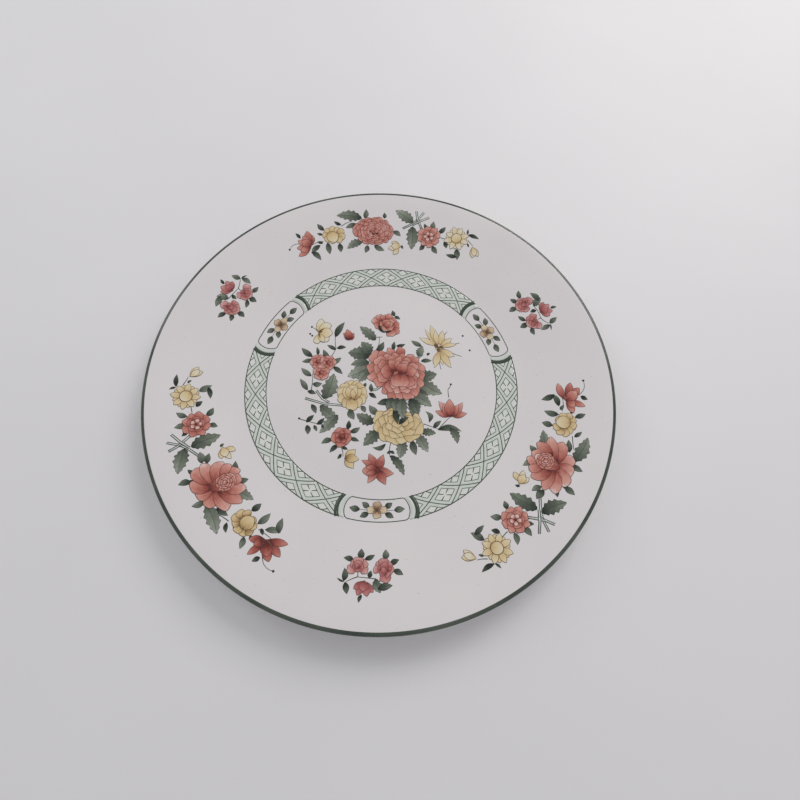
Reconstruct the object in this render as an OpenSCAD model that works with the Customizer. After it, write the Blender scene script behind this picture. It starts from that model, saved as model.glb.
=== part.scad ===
// Decorated china dinner plate: a shallow coupe shape on a foot ring, glazed all over but for
// the foot, with a green edge line and fired enamel decoration on its face.
// The origin is at the centre of the foot ring, on the surface that the plate stands on.

/* [Plate] */
// Diameter over the edge line
plate_d = 265; // [230:1:300]
// Height of the rim above the table
plate_h = 18; // [17:0.5:24]
// Diameter of the flat well
well_d = 120; // [118:1:124]
// Diameter where the curve of the well meets the straight side
curve_d = 172; // [168:1:180]
// Diameter where the side starts to ease into the lip
lip_d = 245; // [240:1:250]
// Slope of the side, in degrees
side_slope = 11; // [9:0.5:12]
// Slope of the lip, in degrees
lip_slope = 6.5; // [4:0.5:8]
// Wall thickness in the well, glaze included
well_wall = 4.4; // [3.6:0.1:4.6]
// Wall thickness at the rim, glaze included
rim_wall = 3.4; // [3:0.1:4]

/* [Foot] */
// Outer diameter of the foot ring
foot_d = 150; // [130:1:156]
// Width of the foot ring
foot_w = 4.5; // [4:0.1:6]
// Height of the bare band at the bottom of the foot
bare_h = 1; // [0.6:0.1:1.4]
// Chamfer on both bottom edges of the foot
foot_chamfer = 0.6; // [0.3:0.1:0.8]

/* [Glaze and enamel] */
// Thickness of the glaze coat
glaze_t = 0.3; // [0.2:0.05:0.4]
// Thickness of one layer of fired enamel
enamel_t = 0.08; // [0.05:0.01:0.12]
// Angle that the edge line wraps down past the widest point of the edge, in degrees
edge_wrap = 12; // [0:1:40]

/* [Trellis band] */
// Inner radius of the band
band_in = 66.9; // [66.6:0.1:69]
// Outer radius of the band
band_out = 79.2; // [77:0.1:79.4]
// Diamonds in the length of one trellis sector
diamonds = 6; // [4:1:8]
// Size of a diamond's inner outline against its outer one
inner_scale = 0.645; // [0.55:0.005:0.75]
// Width of a lattice line
lattice_line = 0.42; // [0.3:0.02:0.6]
// Width of the band's outlines
outline_w = 0.5; // [0.4:0.05:0.7]
// Half the angle between the two end bars beside a cartouche, in degrees
bar_angle = 14.6; // [14.4:0.1:15.4]
// Thickness of an end bar, in degrees
bar_w = 1.7; // [1.2:0.1:2]
// How far an end bar bulges into its sector, in degrees
bar_bulge = 1.4; // [1:0.1:1.8]

/* [Cartouches] */
// Half the angle of a cartouche at its corners, in degrees
cartouche_angle = 12.3; // [11.6:0.1:12.6]
// How far a cartouche's end bulges past its corners, in degrees
cartouche_bulge = 1.6; // [1:0.1:1.8]
// Reach of the cartouche's flower
cartouche_flower_r = 4.6; // [3.6:0.1:5]

/* [Hidden] */
$fn = 180;

PORCELAIN = "#e9e6df";
GLAZE = "#f4f3ef";
EDGE_GREEN = "#46554a";
LATTICE_GREEN = "#4f6a55";
TINT_GREEN = "#cfdccb";
LEAF_GREEN = "#6f7f70";
CORAL = "#cf7a6b";
YELLOW = "#e8cf92";
TAN = "#d3b184";

// ---- Profile of the face ----
// Stations run out along the glazed face, each as [radius, height, slope].

well_r = well_d / 2;
curve_r = curve_d / 2;
lip_r = lip_d / 2;
edge_r = rim_wall / 2;
glaze_r = plate_d / 2 - enamel_t;
glaze_h = plate_h - enamel_t;
face_end_r = glaze_r - edge_r * (1 + sin(lip_slope));
curve_arc = (curve_r - well_r) / sin(side_slope);
lip_arc = (face_end_r - lip_r) / (sin(side_slope) - sin(lip_slope));
curve_rise = curve_arc * (1 - cos(side_slope));
side_rise = (lip_r - curve_r) * tan(side_slope);
lip_rise = lip_arc * (cos(lip_slope) - cos(side_slope));
edge_rise = edge_r * (1 - cos(lip_slope));
floor_z = glaze_h - curve_rise - side_rise - lip_rise - edge_rise;
lip_z = floor_z + curve_rise + side_rise;

CURVE_STEPS = 8;
LIP_STEPS = 4;
EDGE_STEPS = 12;

function curve_station(r) =
    let (slope = asin((r - well_r) / curve_arc))
    [r, floor_z + curve_arc * (1 - cos(slope)), slope];

function lip_station(r) =
    let (slope = asin(sin(side_slope) - (r - lip_r) / lip_arc))
    [r, lip_z + lip_arc * (cos(slope) - cos(side_slope)), slope];

function spread(a, b, steps) = [for (i = [0:steps]) a + (b - a) * i / steps];

curve_stations = [for (r = spread(well_r, curve_r, CURVE_STEPS)) curve_station(r)];
lip_stations = [for (r = spread(lip_r, face_end_r, LIP_STEPS)) lip_station(r)];
face = concat([[0, floor_z, 0]], curve_stations, lip_stations);
last = face[len(face) - 1];

// A station moved into the wall, at right angles to the face.
function sunk(s, depth) = [s[0] + depth * sin(s[2]), s[1] - depth * cos(s[2])];
function reversed(list) = [for (i = [len(list) - 1:-1:0]) list[i]];

edge_centre = sunk(last, edge_r);
function edge_arc(r, from, to) =
    [for (a = spread(from, to, EDGE_STEPS)) edge_centre + r * [cos(a), sin(a)]];
EDGE_TOP = 90 + lip_slope;
EDGE_UNDER = lip_slope - 90;

// ---- Profile of the underside ----

foot_r = foot_d / 2;
foot_in_r = foot_r - foot_w;
base_z = floor_z - well_wall;
foot_clear = 1;
function wall_at(r) = well_wall + (rim_wall - well_wall) * r / face_end_r;
function under(s, cover) = sunk(s, wall_at(s[0]) - cover);
under_stations = [for (s = reversed(face)) if (s[0] > foot_r + foot_clear) s];
foot_top = under(curve_station(foot_r), 0)[1];

function under_path(cover) = [for (s = under_stations) under(s, cover)];

module body() {
    g = glaze_t;
    outline = concat(
        [for (s = face) sunk(s, g)],
        edge_arc(edge_r - g, EDGE_TOP, EDGE_UNDER),
        under_path(g),
        [[foot_r - g, foot_top + g],
         [foot_r - g, foot_chamfer],
         [foot_r - g - foot_chamfer, 0],
         [foot_in_r + g + foot_chamfer, 0],
         [foot_in_r + g, foot_chamfer],
         [foot_in_r + g, base_z + g],
         [0, base_z + g]]);
    color(PORCELAIN) rotate_extrude() polygon(outline);
}

module glaze_coat() {
    g = glaze_t;
    outer = concat(
        [for (s = face) sunk(s, 0)],
        edge_arc(edge_r, EDGE_TOP, EDGE_UNDER),
        under_path(0),
        [[foot_r, foot_top], [foot_r, bare_h]]);
    inner = concat(
        [for (s = face) sunk(s, g)],
        edge_arc(edge_r - g, EDGE_TOP, EDGE_UNDER),
        under_path(g),
        [[foot_r - g, foot_top + g], [foot_r - g, bare_h]]);
    color(GLAZE) rotate_extrude() polygon(concat(outer, reversed(inner)));
}

module base_glaze() {
    g = glaze_t;
    color(GLAZE) rotate_extrude() polygon([
        [0, base_z], [foot_in_r, base_z], [foot_in_r, bare_h],
        [foot_in_r + g, bare_h], [foot_in_r + g, base_z + g], [0, base_z + g]]);
}

module edge_line() {
    outer = edge_arc(edge_r + enamel_t, EDGE_TOP, -edge_wrap);
    inner = edge_arc(edge_r, EDGE_TOP, -edge_wrap);
    color(EDGE_GREEN) rotate_extrude() polygon(concat(outer, reversed(inner)));
}

// ---- Enamel laid on the face ----

// Children drawn flat are laid on a stretch of the face as enamel between two heights.
module laid_on(stations, from, to) {
    intersection() {
        linear_extrude(plate_h) children();
        rotate_extrude() polygon(concat(
            [for (s = stations) sunk(s, -to)],
            [for (s = reversed(stations)) sunk(s, -from)]));
    }
}

band_margin = 3;
band_stations = [for (s = curve_stations)
    if (s[0] > band_in - band_margin && s[0] < band_out + band_margin) s];
side_stations = [curve_stations[CURVE_STEPS], lip_stations[0]];

module on_band(from = 0, to = enamel_t) laid_on(band_stations, from, to) children();
module on_side() laid_on(side_stations, 0, enamel_t) children();
module on_floor() translate([0, 0, floor_z]) linear_extrude(enamel_t) children();
module third(k) rotate([0, 0, 120 * (k - 1)]) children();

function polar(a, r) = [r * cos(a), r * sin(a)];

// ---- Trellis sectors, centred on 90 degrees and every third of a turn ----

band_mid = (band_in + band_out) / 2;
band_half = (band_out - band_in) / 2;
sector_half = 60 - bar_angle;
pitch = 2 * sector_half / diamonds;

// A place in the band: u in diamonds from the sector's middle, v from -1 inside to 1 outside.
function band_point(u, v) = polar(90 + u * pitch, band_mid + v * band_half);

// The curved end of a sector or a cartouche: an arc in angle, from the inner edge to the outer.
END_STEPS = 6;
function curved_end(middle, angle, bulge, r_in, r_out) =
    [for (v = spread(-1, 1, END_STEPS))
        polar(middle + angle + bulge * (1 - v * v), (r_in + r_out) / 2 + v * (r_out - r_in) / 2)];

// Part of the band between two curved ends.
module ring_slice(middle, half, bulge, r_in, r_out) {
    reach = 1.5 * r_out;
    intersection() {
        difference() {
            circle(r_out);
            circle(r_in);
        }
        polygon(concat(
            [[0, 0]],
            curved_end(middle, half, bulge, r_in, r_out),
            [polar(middle + half, reach), polar(middle - half, reach)],
            reversed(curved_end(middle, -half, -bulge, r_in, r_out))));
    }
}

// Diamond around a place in the band, at a scale of the lattice's own cell.
module lattice_diamond(u, v, scale) {
    polygon([band_point(u - scale / 2, v), band_point(u, v + scale),
        band_point(u + scale / 2, v), band_point(u, v - scale)]);
}

// How much a diamond's scale shrinks when its sides move in by half a line.
cell_across = band_mid * pitch * PI / 360;
cell_apothem = cell_across * band_half / norm([cell_across, band_half]);
line_step = lattice_line / 2 / cell_apothem;

// The openings that one cell leaves between its lines.
module cell_openings(u, v) {
    quarter = inner_scale / 2;
    difference() {
        lattice_diamond(u, v, 1 - line_step);
        lattice_diamond(u, v, inner_scale + line_step);
    }
    for (side = [-1, 1]) {
        lattice_diamond(u + side * quarter / 2, v, quarter - line_step);
        lattice_diamond(u, v + side * quarter, quarter - line_step);
    }
}

module trellis_openings() {
    half = diamonds / 2;
    for (i = [0:diamonds]) cell_openings(i - half, 0);
    for (i = [0:diamonds - 1], v = [-1, 1]) cell_openings(i - half + 0.5, v);
}

module trellis_tint(k) {
    color(TINT_GREEN) third(k) on_band(0, enamel_t)
        ring_slice(90, sector_half, -bar_bulge, band_in, band_out);
}

module trellis_lines(k) {
    inner_half = sector_half - bar_w;
    color(LATTICE_GREEN) third(k) on_band(enamel_t, 2 * enamel_t)
        difference() {
            ring_slice(90, sector_half, -bar_bulge, band_in, band_out);
            intersection() {
                trellis_openings();
                ring_slice(90, inner_half, -bar_bulge, band_in + outline_w, band_out - outline_w);
            }
        }
}

// ---- Shapes that the flowers are drawn with ----

// Leaf or narrow petal: two arcs that meet at its base and its tip.
module leaf(base, tip, width) {
    run = norm(tip - base);
    sag = width / 2;
    arc = (run * run / 4 + sag * sag) / (2 * sag);
    middle = (base + tip) / 2;
    turn = atan2(tip[1] - base[1], tip[0] - base[0]);
    translate(middle) rotate(turn) intersection() {
        translate([0, arc - sag]) circle(arc);
        translate([0, sag - arc]) circle(arc);
    }
}

module stem(from, to, width = 0.6) {
    run = norm(to - from);
    turn = atan2(to[1] - from[1], to[0] - from[0]);
    translate(from) rotate(turn) translate([0, -width / 2]) square([run, width]);
}

// Full bloom with a scalloped outline.
module bloom(centre, reach, petals, turn = 0) {
    petal_r = 0.34 * reach;
    translate(centre) rotate(turn) {
        circle(0.75 * reach);
        for (i = [0:petals - 1]) rotate(i * 360 / petals)
            translate([reach - petal_r, 0]) circle(petal_r);
    }
}

// Open flower with narrow petals, over part of a turn or all of it.
module star(centre, reach, petals, width, turn = 0, sweep = 360) {
    step = sweep / petals;
    translate(centre) rotate(turn) {
        circle(0.38 * reach);
        for (i = [0:petals - 1]) rotate(i * step) leaf([0.2 * reach, 0], [reach, 0], width);
    }
}

// ---- Cartouches, centred on 30 degrees and every third of a turn ----

CARTOUCHE = 30;
outline_turn = outline_w / band_mid * 180 / PI;

// A place in the cartouche: p is [degrees from its middle, distance out from mid band].
function cartouche_point(p) = polar(CARTOUCHE + p[0], band_mid + p[1]);
function mirrored(p) = [-p[0], p[1]];

// Leaves beside the flower as [base, tip, width], and the stem that the last one grows on.
CARTOUCHE_LEAVES = [
    [[3.3, 1.4], [6.7, 4], 2.7], [[3.3, -1.4], [6.7, -4], 2.7], [[7.1, 0], [11.7, 0], 2.9]
];
CARTOUCHE_STEM = [[3, 0], [7.8, 0]];

module cartouche_frame(k) {
    color(LATTICE_GREEN) third(k) on_band() difference() {
        ring_slice(CARTOUCHE, cartouche_angle, cartouche_bulge, band_in, band_out);
        ring_slice(CARTOUCHE, cartouche_angle - outline_turn, cartouche_bulge,
            band_in + outline_w, band_out - outline_w);
    }
}

module cartouche_flower_shape() {
    lobe = 0.48 * cartouche_flower_r;
    translate(cartouche_point([0, 0])) rotate(CARTOUCHE) {
        circle(0.4 * cartouche_flower_r);
        for (a = [0:90:270]) rotate(a) translate([cartouche_flower_r - lobe, 0]) circle(lobe);
    }
}

module cartouche_flower(k) {
    color(TAN) third(k) on_band() cartouche_flower_shape();
}

module cartouche_leaves(k) {
    color(LEAF_GREEN) third(k) on_band() difference() {
        union() {
            for (item = CARTOUCHE_LEAVES) {
                leaf(cartouche_point(item[0]), cartouche_point(item[1]), item[2]);
                leaf(cartouche_point(mirrored(item[0])), cartouche_point(mirrored(item[1])),
                    item[2]);
            }
            stem(cartouche_point(CARTOUCHE_STEM[0]), cartouche_point(CARTOUCHE_STEM[1]), 0.4);
            stem(cartouche_point(mirrored(CARTOUCHE_STEM[0])),
                cartouche_point(mirrored(CARTOUCHE_STEM[1])), 0.4);
        }
        cartouche_flower_shape();
    }
}

// ---- Large sprays on the side, centred on 90 degrees and every third of a turn ----

SPRAY = 90;
function spray_point(p) = polar(SPRAY + p[0], p[1]);

// Leaves as [base, tip, width], each end as [angle from the spray's middle, radius].
SPRAY_LEAVES = [
    [[30.3, 110.5], [31, 115], 2.2], [[23.8, 102.5], [25.6, 104.5], 2],
    [[25.3, 100.5], [29, 98], 3.1], [[28.8, 99], [27.4, 92.5], 2.7],
    [[22.2, 102], [22.9, 94], 3.7], [[18.1, 99.5], [18.5, 93.5], 3.6],
    [[21.9, 110.5], [23.3, 116], 3.1], [[22.9, 108], [24.5, 110], 1.9],
    [[15.9, 111.5], [17.9, 115], 2.3], [[17.9, 110], [19, 111.5], 1.4],
    [[9.1, 113.5], [16.7, 117.5], 6.2], [[11, 111], [14.7, 109], 3.3],
    [[7.8, 113.5], [7.4, 119], 3.3], [[1.4, 113.5], [1.4, 117.5], 2.6],
    [[9.5, 98.5], [15.8, 95], 5.1], [[7.7, 95.5], [9.1, 90.5], 3.3],
    [[5.3, 95], [1.2, 91.5], 3.6], [[-5.4, 96], [-6.1, 93.5], 1.6],
    [[-1.8, 105], [-4.6, 102], 3.3], [[-8.2, 112.5], [-2.1, 119.5], 7],
    [[-8, 108], [-9.8, 93.5], 8.9], [[-13, 109.5], [-11.9, 113], 2.3],
    [[-14.5, 110], [-14.7, 116], 3.4], [[-17.4, 109], [-19, 114.5], 3.1],
    [[-14, 98.5], [-12.6, 94.5], 3], [[-16.8, 99.5], [-19.5, 95.5], 3.4],
    [[-20.3, 104.5], [-22, 101], 2.8], [[-26.5, 115], [-25.9, 118.5], 1.4],
    [[-26.7, 115], [-30.5, 115.5], 2.6], [[-28, 109.5], [-29, 107.5], 1.3],
    [[-25.7, 102.5], [-27.3, 97.5], 3.1], [[-26.6, 98], [-23.6, 96.5], 2.3]
];

// Cut stems that cross at the outer side, as [from, to].
SPRAY_STEMS = [
    [[-3.6, 107], [-9.8, 118.5]], [[-4.6, 105.5], [-11, 117]], [[-8, 108], [-10.6, 120]],
    [[-13, 105], [-8.2, 118]], [[24, 103], [29, 105]], [[-20, 104], [-26, 108]]
];

module spray_coral_shape() {
    star(spray_point([28, 105.5]), 7, 5, 5, SPRAY - 20, 225);
    bloom(spray_point([7, 106]), 10.2, 8);
    bloom(spray_point([3, 106]), 10.2, 8, 20);
    bloom(spray_point([-14.8, 104.5]), 7, 7, 12);
}

module spray_yellow_shape() {
    star(spray_point([19.3, 106]), 6.6, 5, 4.4, SPRAY - 40);
    leaf(spray_point([-2.4, 97]), spray_point([-3, 90.5]), 4.6);
    star(spray_point([-24, 108.5]), 7, 8, 2.8, 10);
    leaf(spray_point([-30, 108]), spray_point([-32.4, 104.5]), 3.8);
}

// How far each spray is turned from its even place, as transfers laid by hand are.
SPRAY_TURNS = [0, 1.3, -2];
module spray_third(k) third(k) rotate([0, 0, SPRAY_TURNS[k - 1]]) children();

module spray_coral(k) color(CORAL) spray_third(k) on_side() spray_coral_shape();

module spray_yellow(k) color(YELLOW) spray_third(k) on_side() spray_yellow_shape();

module spray_leaves(k) {
    color(LEAF_GREEN) spray_third(k) on_side() difference() {
        union() {
            for (item = SPRAY_LEAVES)
                leaf(spray_point(item[0]), spray_point(item[1]), item[2]);
            for (item = SPRAY_STEMS) stem(spray_point(item[0]), spray_point(item[1]), 0.5);
        }
        spray_coral_shape();
        spray_yellow_shape();
    }
}

// ---- Sprigs on the side, outside the cartouches ----

function sprig_point(p) = polar(CARTOUCHE + p[0], p[1]);

SPRIG_LEAVES = [
    [[-2.8, 114.2], [-3.4, 118], 1.9], [[0.4, 106.8], [1.7, 112.8], 3.6], [[1.2, 111.6], [4.9, 110], 3],
    [[-7.4, 109.4], [-6.4, 114.8], 3.2], [[-7.5, 109.2], [-7.9, 103], 3],
    [[-7.6, 109.4], [-9.7, 108.2], 1], [[5.2, 103], [7.9, 105.6], 3], [[4.4, 100.2], [7.2, 98.2], 2.9],
    [[3, 97.8], [3.3, 92.8], 3.5], [[-3, 97.8], [0, 95.4], 2.6],
    [[-4, 98], [-4.3, 92.8], 3.6], [[-6, 99], [-9.2, 98.4], 2.8],
    [[-1.3, 106.6], [-0.9, 102.9], 2.5]
];

SPRIG_STEMS = [[[1.4, 107], [-3.4, 106]], [[-3.3, 106], [-6.4, 109.5]]];

module sprig_roses_shape() {
    bloom(sprig_point([3.2, 105]), 3.4, 5);
    bloom(sprig_point([2.5, 101.3]), 4.1, 6, 15);
    bloom(sprig_point([-3, 101.4]), 3.2, 5, 10);
    bloom(sprig_point([-5.2, 101.2]), 3.7, 5);
    bloom(sprig_point([-2.6, 111.2]), 3.7, 6);
}

// How far each sprig is turned, and how far moved outward, from its even place.
SPRIG_TURNS = [-0.5, 1.9, 0];
SPRIG_MOVES = [-1.6, 0.3, 0];
module sprig_place(k) rotate(SPRIG_TURNS[k - 1]) translate(polar(CARTOUCHE, SPRIG_MOVES[k - 1])) children();

module sprig_roses(k) color(CORAL) third(k) on_side() sprig_place(k) sprig_roses_shape();

module sprig_leaves(k) {
    color(LEAF_GREEN) third(k) on_side() sprig_place(k) difference() {
        union() {
            for (item = SPRIG_LEAVES)
                leaf(sprig_point(item[0]), sprig_point(item[1]), item[2]);
            for (item = SPRIG_STEMS) stem(sprig_point(item[0]), sprig_point(item[1]), 0.4);
        }
        sprig_roses_shape();
    }
}

// ---- Bouquet in the well ----

// Leaves as [base, tip, width].
BOUQUET_LEAVES = [
    // beside and below the peony
    [[-8, 18], [-21, 19.5], 9], [[-8, 18.5], [-13.5, 27], 7], [[-7, 11.5], [-20.5, 4], 9],
    [[-8, 8], [-13.5, 1], 6], [[-8, 13.5], [-19, 11.5], 5],
    [[22, 4.5], [32, 7.5], 7], [[22, 2.5], [35, -5], 8], [[18.5, -3.5], [27, -6.5], 4],
    [[17, -6.5], [29, -13], 7], [[4.5, -9.5], [-2.5, -12.5], 4], [[6.5, -10], [3, -16], 4.5],
    [[11.5, -9.5], [12.5, -22], 7], [[15, -9.5], [21.5, -18], 6.5],
    // around the large yellow rose
    [[-1.5, -19], [-7, -13.5], 4.2], [[-3.5, -24], [-14, -19], 6.5], [[0, -28.5], [-9, -37.5], 7],
    [[3.5, -36.5], [-4, -38.5], 3], [[13.5, -34], [11.5, -44], 6], [[18, -33.5], [20.5, -42], 4.2],
    [[20.5, -30], [27, -40], 6], [[23, -28.5], [31.5, -29], 4.5],
    // around the small yellow rose
    [[-33, -10.5], [-28.5, 5.5], 8.5], [[-18, -16], [-15, -22.5], 4.2],
    [[-10.5, -2.5], [-9.5, 0.5], 1.9], [[-6, -5], [-6.5, 0], 2.6], [[-7.5, -6], [-3, -9], 2.6],
    [[-11.5, -14], [-9, -18], 3],
    // above the peony
    [[-5, 28.5], [-15, 37.5], 6], [[-4, 20.5], [0, 27.5], 3.8], [[6, 22], [6.5, 28], 2.6],
    [[7.5, 25], [13, 26.5], 2.4], [[6, 45.5], [4.5, 49.5], 2.6], [[6, 45.5], [9.5, 43.5], 2.2],
    [[21, 18.5], [23.5, 25.5], 4.5], [[23, 25.5], [16.5, 29], 3], [[26, 19.5], [28, 21], 1.6],
    [[22.5, 15.5], [29, 16], 2.7],
    // right and bottom
    [[28.5, -23.5], [26.5, -16.5], 3.4], [[30, -26], [34.5, -21.5], 2.8],
    [[33, -27], [41.5, -26], 4], [[40.5, -25.5], [43, -35], 4.6], [[6.5, -44], [14, -53.5], 4.6],
    [[6.5, -40], [4, -41.5], 1.8], [[6.5, -40], [8.5, -41.5], 1.8],
    // around the small pink flower
    [[-18.5, -28.5], [-18, -23], 2.9], [[-17, -30], [-11.5, -27], 3],
    [[-17, -33.5], [-11.5, -35], 2.4], [[-26.5, -34.5], [-32.5, -37], 3.2],
    [[-23, -37.5], [-27.5, -42], 2.8], [[-21, -39], [-17.5, -40], 1.8],
    [[-21, -42.5], [-23, -45.5], 1.8], [[-35, -14.5], [-24, -23], 6], [[-24.5, -20], [-34, -31], 6],
    // left-hand sprigs
    [[-40, -14], [-37, -19.5], 3], [[-43, -5.5], [-48, 1.5], 3.2], [[-41.5, 3.5], [-48, 8.5], 3.2],
    [[-40.5, -1.5], [-35, -1], 3.2], [[-43, -6], [-38, -7.5], 2.6], [[-42, 16], [-49, 21.5], 3.6],
    [[-41.5, 14], [-48, 12.5], 2.8], [[-39, 17], [-40, 22.5], 2], [[-32, 15], [-36, 21], 3.2],
    [[-29.5, 12], [-25, 16], 3], [[-29.5, 10], [-23.5, 5.5], 3], [[-28.5, 21], [-34, 24], 2.4],
    [[-28, 22], [-22.5, 23], 2.6], [[-29.5, 29.5], [-24.5, 40], 4], [[-42, -25], [-38, -20.5], 2.8],
    [[-36, -26], [-32, -22], 2.6], [[-41.5, -26.5], [-40.5, -32], 3.2],
    [[-37.5, -26.5], [-35.5, -30], 2], [[-33, -26], [-32, -28.5], 1.6]
];

// Stems as [from, to].
BOUQUET_STEMS = [
    [[-43.5, -11.5], [-22.5, -14.5]], [[-37, -6], [-31, -13.5]], [[-41, -6], [-41, 10]],
    [[-31.5, 15.5], [-29.5, 29.5]], [[-4.5, 22], [-2, 33]], [[25, -25], [35, -26]],
    [[35, -26], [39.5, -20.5]], [[-45.5, -23.5], [-29, -26.5]], [[6, -35], [6, -44]]
];

module bouquet_coral_shape() {
    bloom([8, 7.5], 16, 11);
    bloom([1.5, 39], 8, 7);
    star([39.5, -17.5], 9, 5, 5, 8, 205);
    star([-1.5, -50], 8.3, 7, 4.6, 10);
    bloom([-21.5, -33], 5.2, 5, 18);
    for (c = [[-39, 12.5], [-32.5, 12.5], [-36, 6]]) bloom(c, 4.2, 5, 18);
    star([-22, 29.5], 5.4, 3, 3.2, 50, 180);
}

module bouquet_yellow_shape() {
    bloom([5.5, -25.5], 9.3, 8);
    bloom([15, -26], 9.3, 8, 22);
    bloom([-17, -7.5], 8.4, 7);
    star([33, 25], 13, 6, 6.4, 22);
    star([-37, 33], 7.6, 6, 4.2, 30);
    star([-16, -44.5], 5.2, 4, 3, 130, 200);
}

module bouquet_coral() color(CORAL) on_floor() bouquet_coral_shape();

module bouquet_yellow() color(YELLOW) on_floor() bouquet_yellow_shape();

module bouquet_leaves() {
    color(LEAF_GREEN) on_floor() difference() {
        union() {
            for (item = BOUQUET_LEAVES) leaf(item[0], item[1], item[2]);
            for (item = BOUQUET_STEMS) stem(item[0], item[1]);
        }
        bouquet_coral_shape();
        bouquet_yellow_shape();
    }
}

body();
glaze_coat();
base_glaze();
edge_line();
trellis_tint(1);  // trellis_tint_1
trellis_tint(2);  // trellis_tint_2
trellis_tint(3);  // trellis_tint_3
trellis_lines(1);  // trellis_lines_1
trellis_lines(2);  // trellis_lines_2
trellis_lines(3);  // trellis_lines_3
cartouche_frame(1);  // cartouche_frame_1
cartouche_frame(2);  // cartouche_frame_2
cartouche_frame(3);  // cartouche_frame_3
cartouche_flower(1);  // cartouche_flower_1
cartouche_flower(2);  // cartouche_flower_2
cartouche_flower(3);  // cartouche_flower_3
cartouche_leaves(1);  // cartouche_leaves_1
cartouche_leaves(2);  // cartouche_leaves_2
cartouche_leaves(3);  // cartouche_leaves_3
spray_coral(1);  // spray_coral_1
spray_coral(2);  // spray_coral_2
spray_coral(3);  // spray_coral_3
spray_yellow(1);  // spray_yellow_1
spray_yellow(2);  // spray_yellow_2
spray_yellow(3);  // spray_yellow_3
spray_leaves(1);  // spray_leaves_1
spray_leaves(2);  // spray_leaves_2
spray_leaves(3);  // spray_leaves_3
sprig_roses(1);  // sprig_roses_1
sprig_roses(2);  // sprig_roses_2
sprig_roses(3);  // sprig_roses_3
sprig_leaves(1);  // sprig_leaves_1
sprig_leaves(2);  // sprig_leaves_2
sprig_leaves(3);  // sprig_leaves_3
bouquet_coral();
bouquet_yellow();
bouquet_leaves();
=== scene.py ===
"""Looks of a decorated china dinner plate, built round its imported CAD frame.

The plate is turned from the face's profile in fine steps. Its enamel decoration is drawn petal
by petal and leaf by leaf as thin closed shapes that lie on the glaze. Lengths in this script are
millimetres and angles degrees, until laid() and turned() write them to a mesh in metres.
"""
import math
import random
from collections import namedtuple

import bpy
from mathutils import Matrix, Vector


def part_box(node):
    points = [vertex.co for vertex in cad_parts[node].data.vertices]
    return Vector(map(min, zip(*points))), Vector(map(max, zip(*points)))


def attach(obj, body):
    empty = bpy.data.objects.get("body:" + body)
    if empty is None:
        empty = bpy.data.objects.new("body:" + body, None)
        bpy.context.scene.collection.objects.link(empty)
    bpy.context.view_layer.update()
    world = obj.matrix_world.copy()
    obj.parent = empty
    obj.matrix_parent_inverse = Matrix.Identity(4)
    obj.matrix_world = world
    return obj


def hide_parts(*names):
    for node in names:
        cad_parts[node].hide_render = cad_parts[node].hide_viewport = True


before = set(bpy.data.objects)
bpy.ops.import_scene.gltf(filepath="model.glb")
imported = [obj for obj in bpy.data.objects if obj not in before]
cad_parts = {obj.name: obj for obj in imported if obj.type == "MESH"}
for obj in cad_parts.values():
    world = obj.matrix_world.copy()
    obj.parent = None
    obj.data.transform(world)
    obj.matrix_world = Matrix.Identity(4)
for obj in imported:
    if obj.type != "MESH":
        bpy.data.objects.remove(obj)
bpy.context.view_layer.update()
MM = 0.001


def box_mm(node):
    low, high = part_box(node)
    return low / MM, high / MM


def placed(name, data):
    """A new object in the scene."""
    made = bpy.data.objects.new(name, data)
    bpy.context.scene.collection.objects.link(made)
    return made


# ---- Profile of the plate, the design's own but for its fillets and its edge line ----

PLATE_R = box_mm("edge_line")[1].x
PLATE_TOP = box_mm("edge_line")[1].z
ENAMEL = PLATE_TOP - box_mm("glaze_coat")[1].z
GLAZE_R = PLATE_R - ENAMEL
BARE_H = box_mm("glaze_coat")[0].z
FLOOR_Z = box_mm("bouquet_leaves")[0].z

WELL_R = 60
CURVE_R = 86
LIP_R = 122.5
SIDE_SLOPE = math.radians(11)
LIP_SLOPE = math.radians(6.5)
WELL_WALL = 4.4
RIM_WALL = 3.4
GLAZE_T = 0.3
FOOT_R = 75
FOOT_W = 4.5
FOOT_FILLET = 1.6
BASE_FILLET = 1.2
# The edge line starts this far in from the lip's end and ends these degrees above the widest point.
EDGE_INSET = 0.25
EDGE_LOW = 10

EDGE_R = RIM_WALL / 2
FACE_END = GLAZE_R - EDGE_R * (1 + math.sin(LIP_SLOPE))
CURVE_ARC = (CURVE_R - WELL_R) / math.sin(SIDE_SLOPE)
LIP_ARC = (FACE_END - LIP_R) / (math.sin(SIDE_SLOPE) - math.sin(LIP_SLOPE))
CURVE_TOP = FLOOR_Z + CURVE_ARC * (1 - math.cos(SIDE_SLOPE))
LIP_Z = CURVE_TOP + (LIP_R - CURVE_R) * math.tan(SIDE_SLOPE)
BASE_Z = FLOOR_Z - WELL_WALL


def face(r):
    """Height and slope of the glazed face at a radius."""
    if r <= WELL_R:
        return FLOOR_Z, 0.0
    if r <= CURVE_R:
        slope = math.asin((r - WELL_R) / CURVE_ARC)
        return FLOOR_Z + CURVE_ARC * (1 - math.cos(slope)), slope
    if r <= LIP_R:
        return CURVE_TOP + (r - CURVE_R) * math.tan(SIDE_SLOPE), SIDE_SLOPE
    slope = math.asin(math.sin(SIDE_SLOPE) - (r - LIP_R) / LIP_ARC)
    return LIP_Z + LIP_ARC * (math.cos(slope) - math.cos(SIDE_SLOPE)), slope


def sunk(r, depth):
    """A place under the face, moved into the wall at right angles to it."""
    z, slope = face(r)
    return r + depth * math.sin(slope), z - depth * math.cos(slope)


def wall_at(r):
    return WELL_WALL + (RIM_WALL - WELL_WALL) * r / FACE_END


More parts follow.
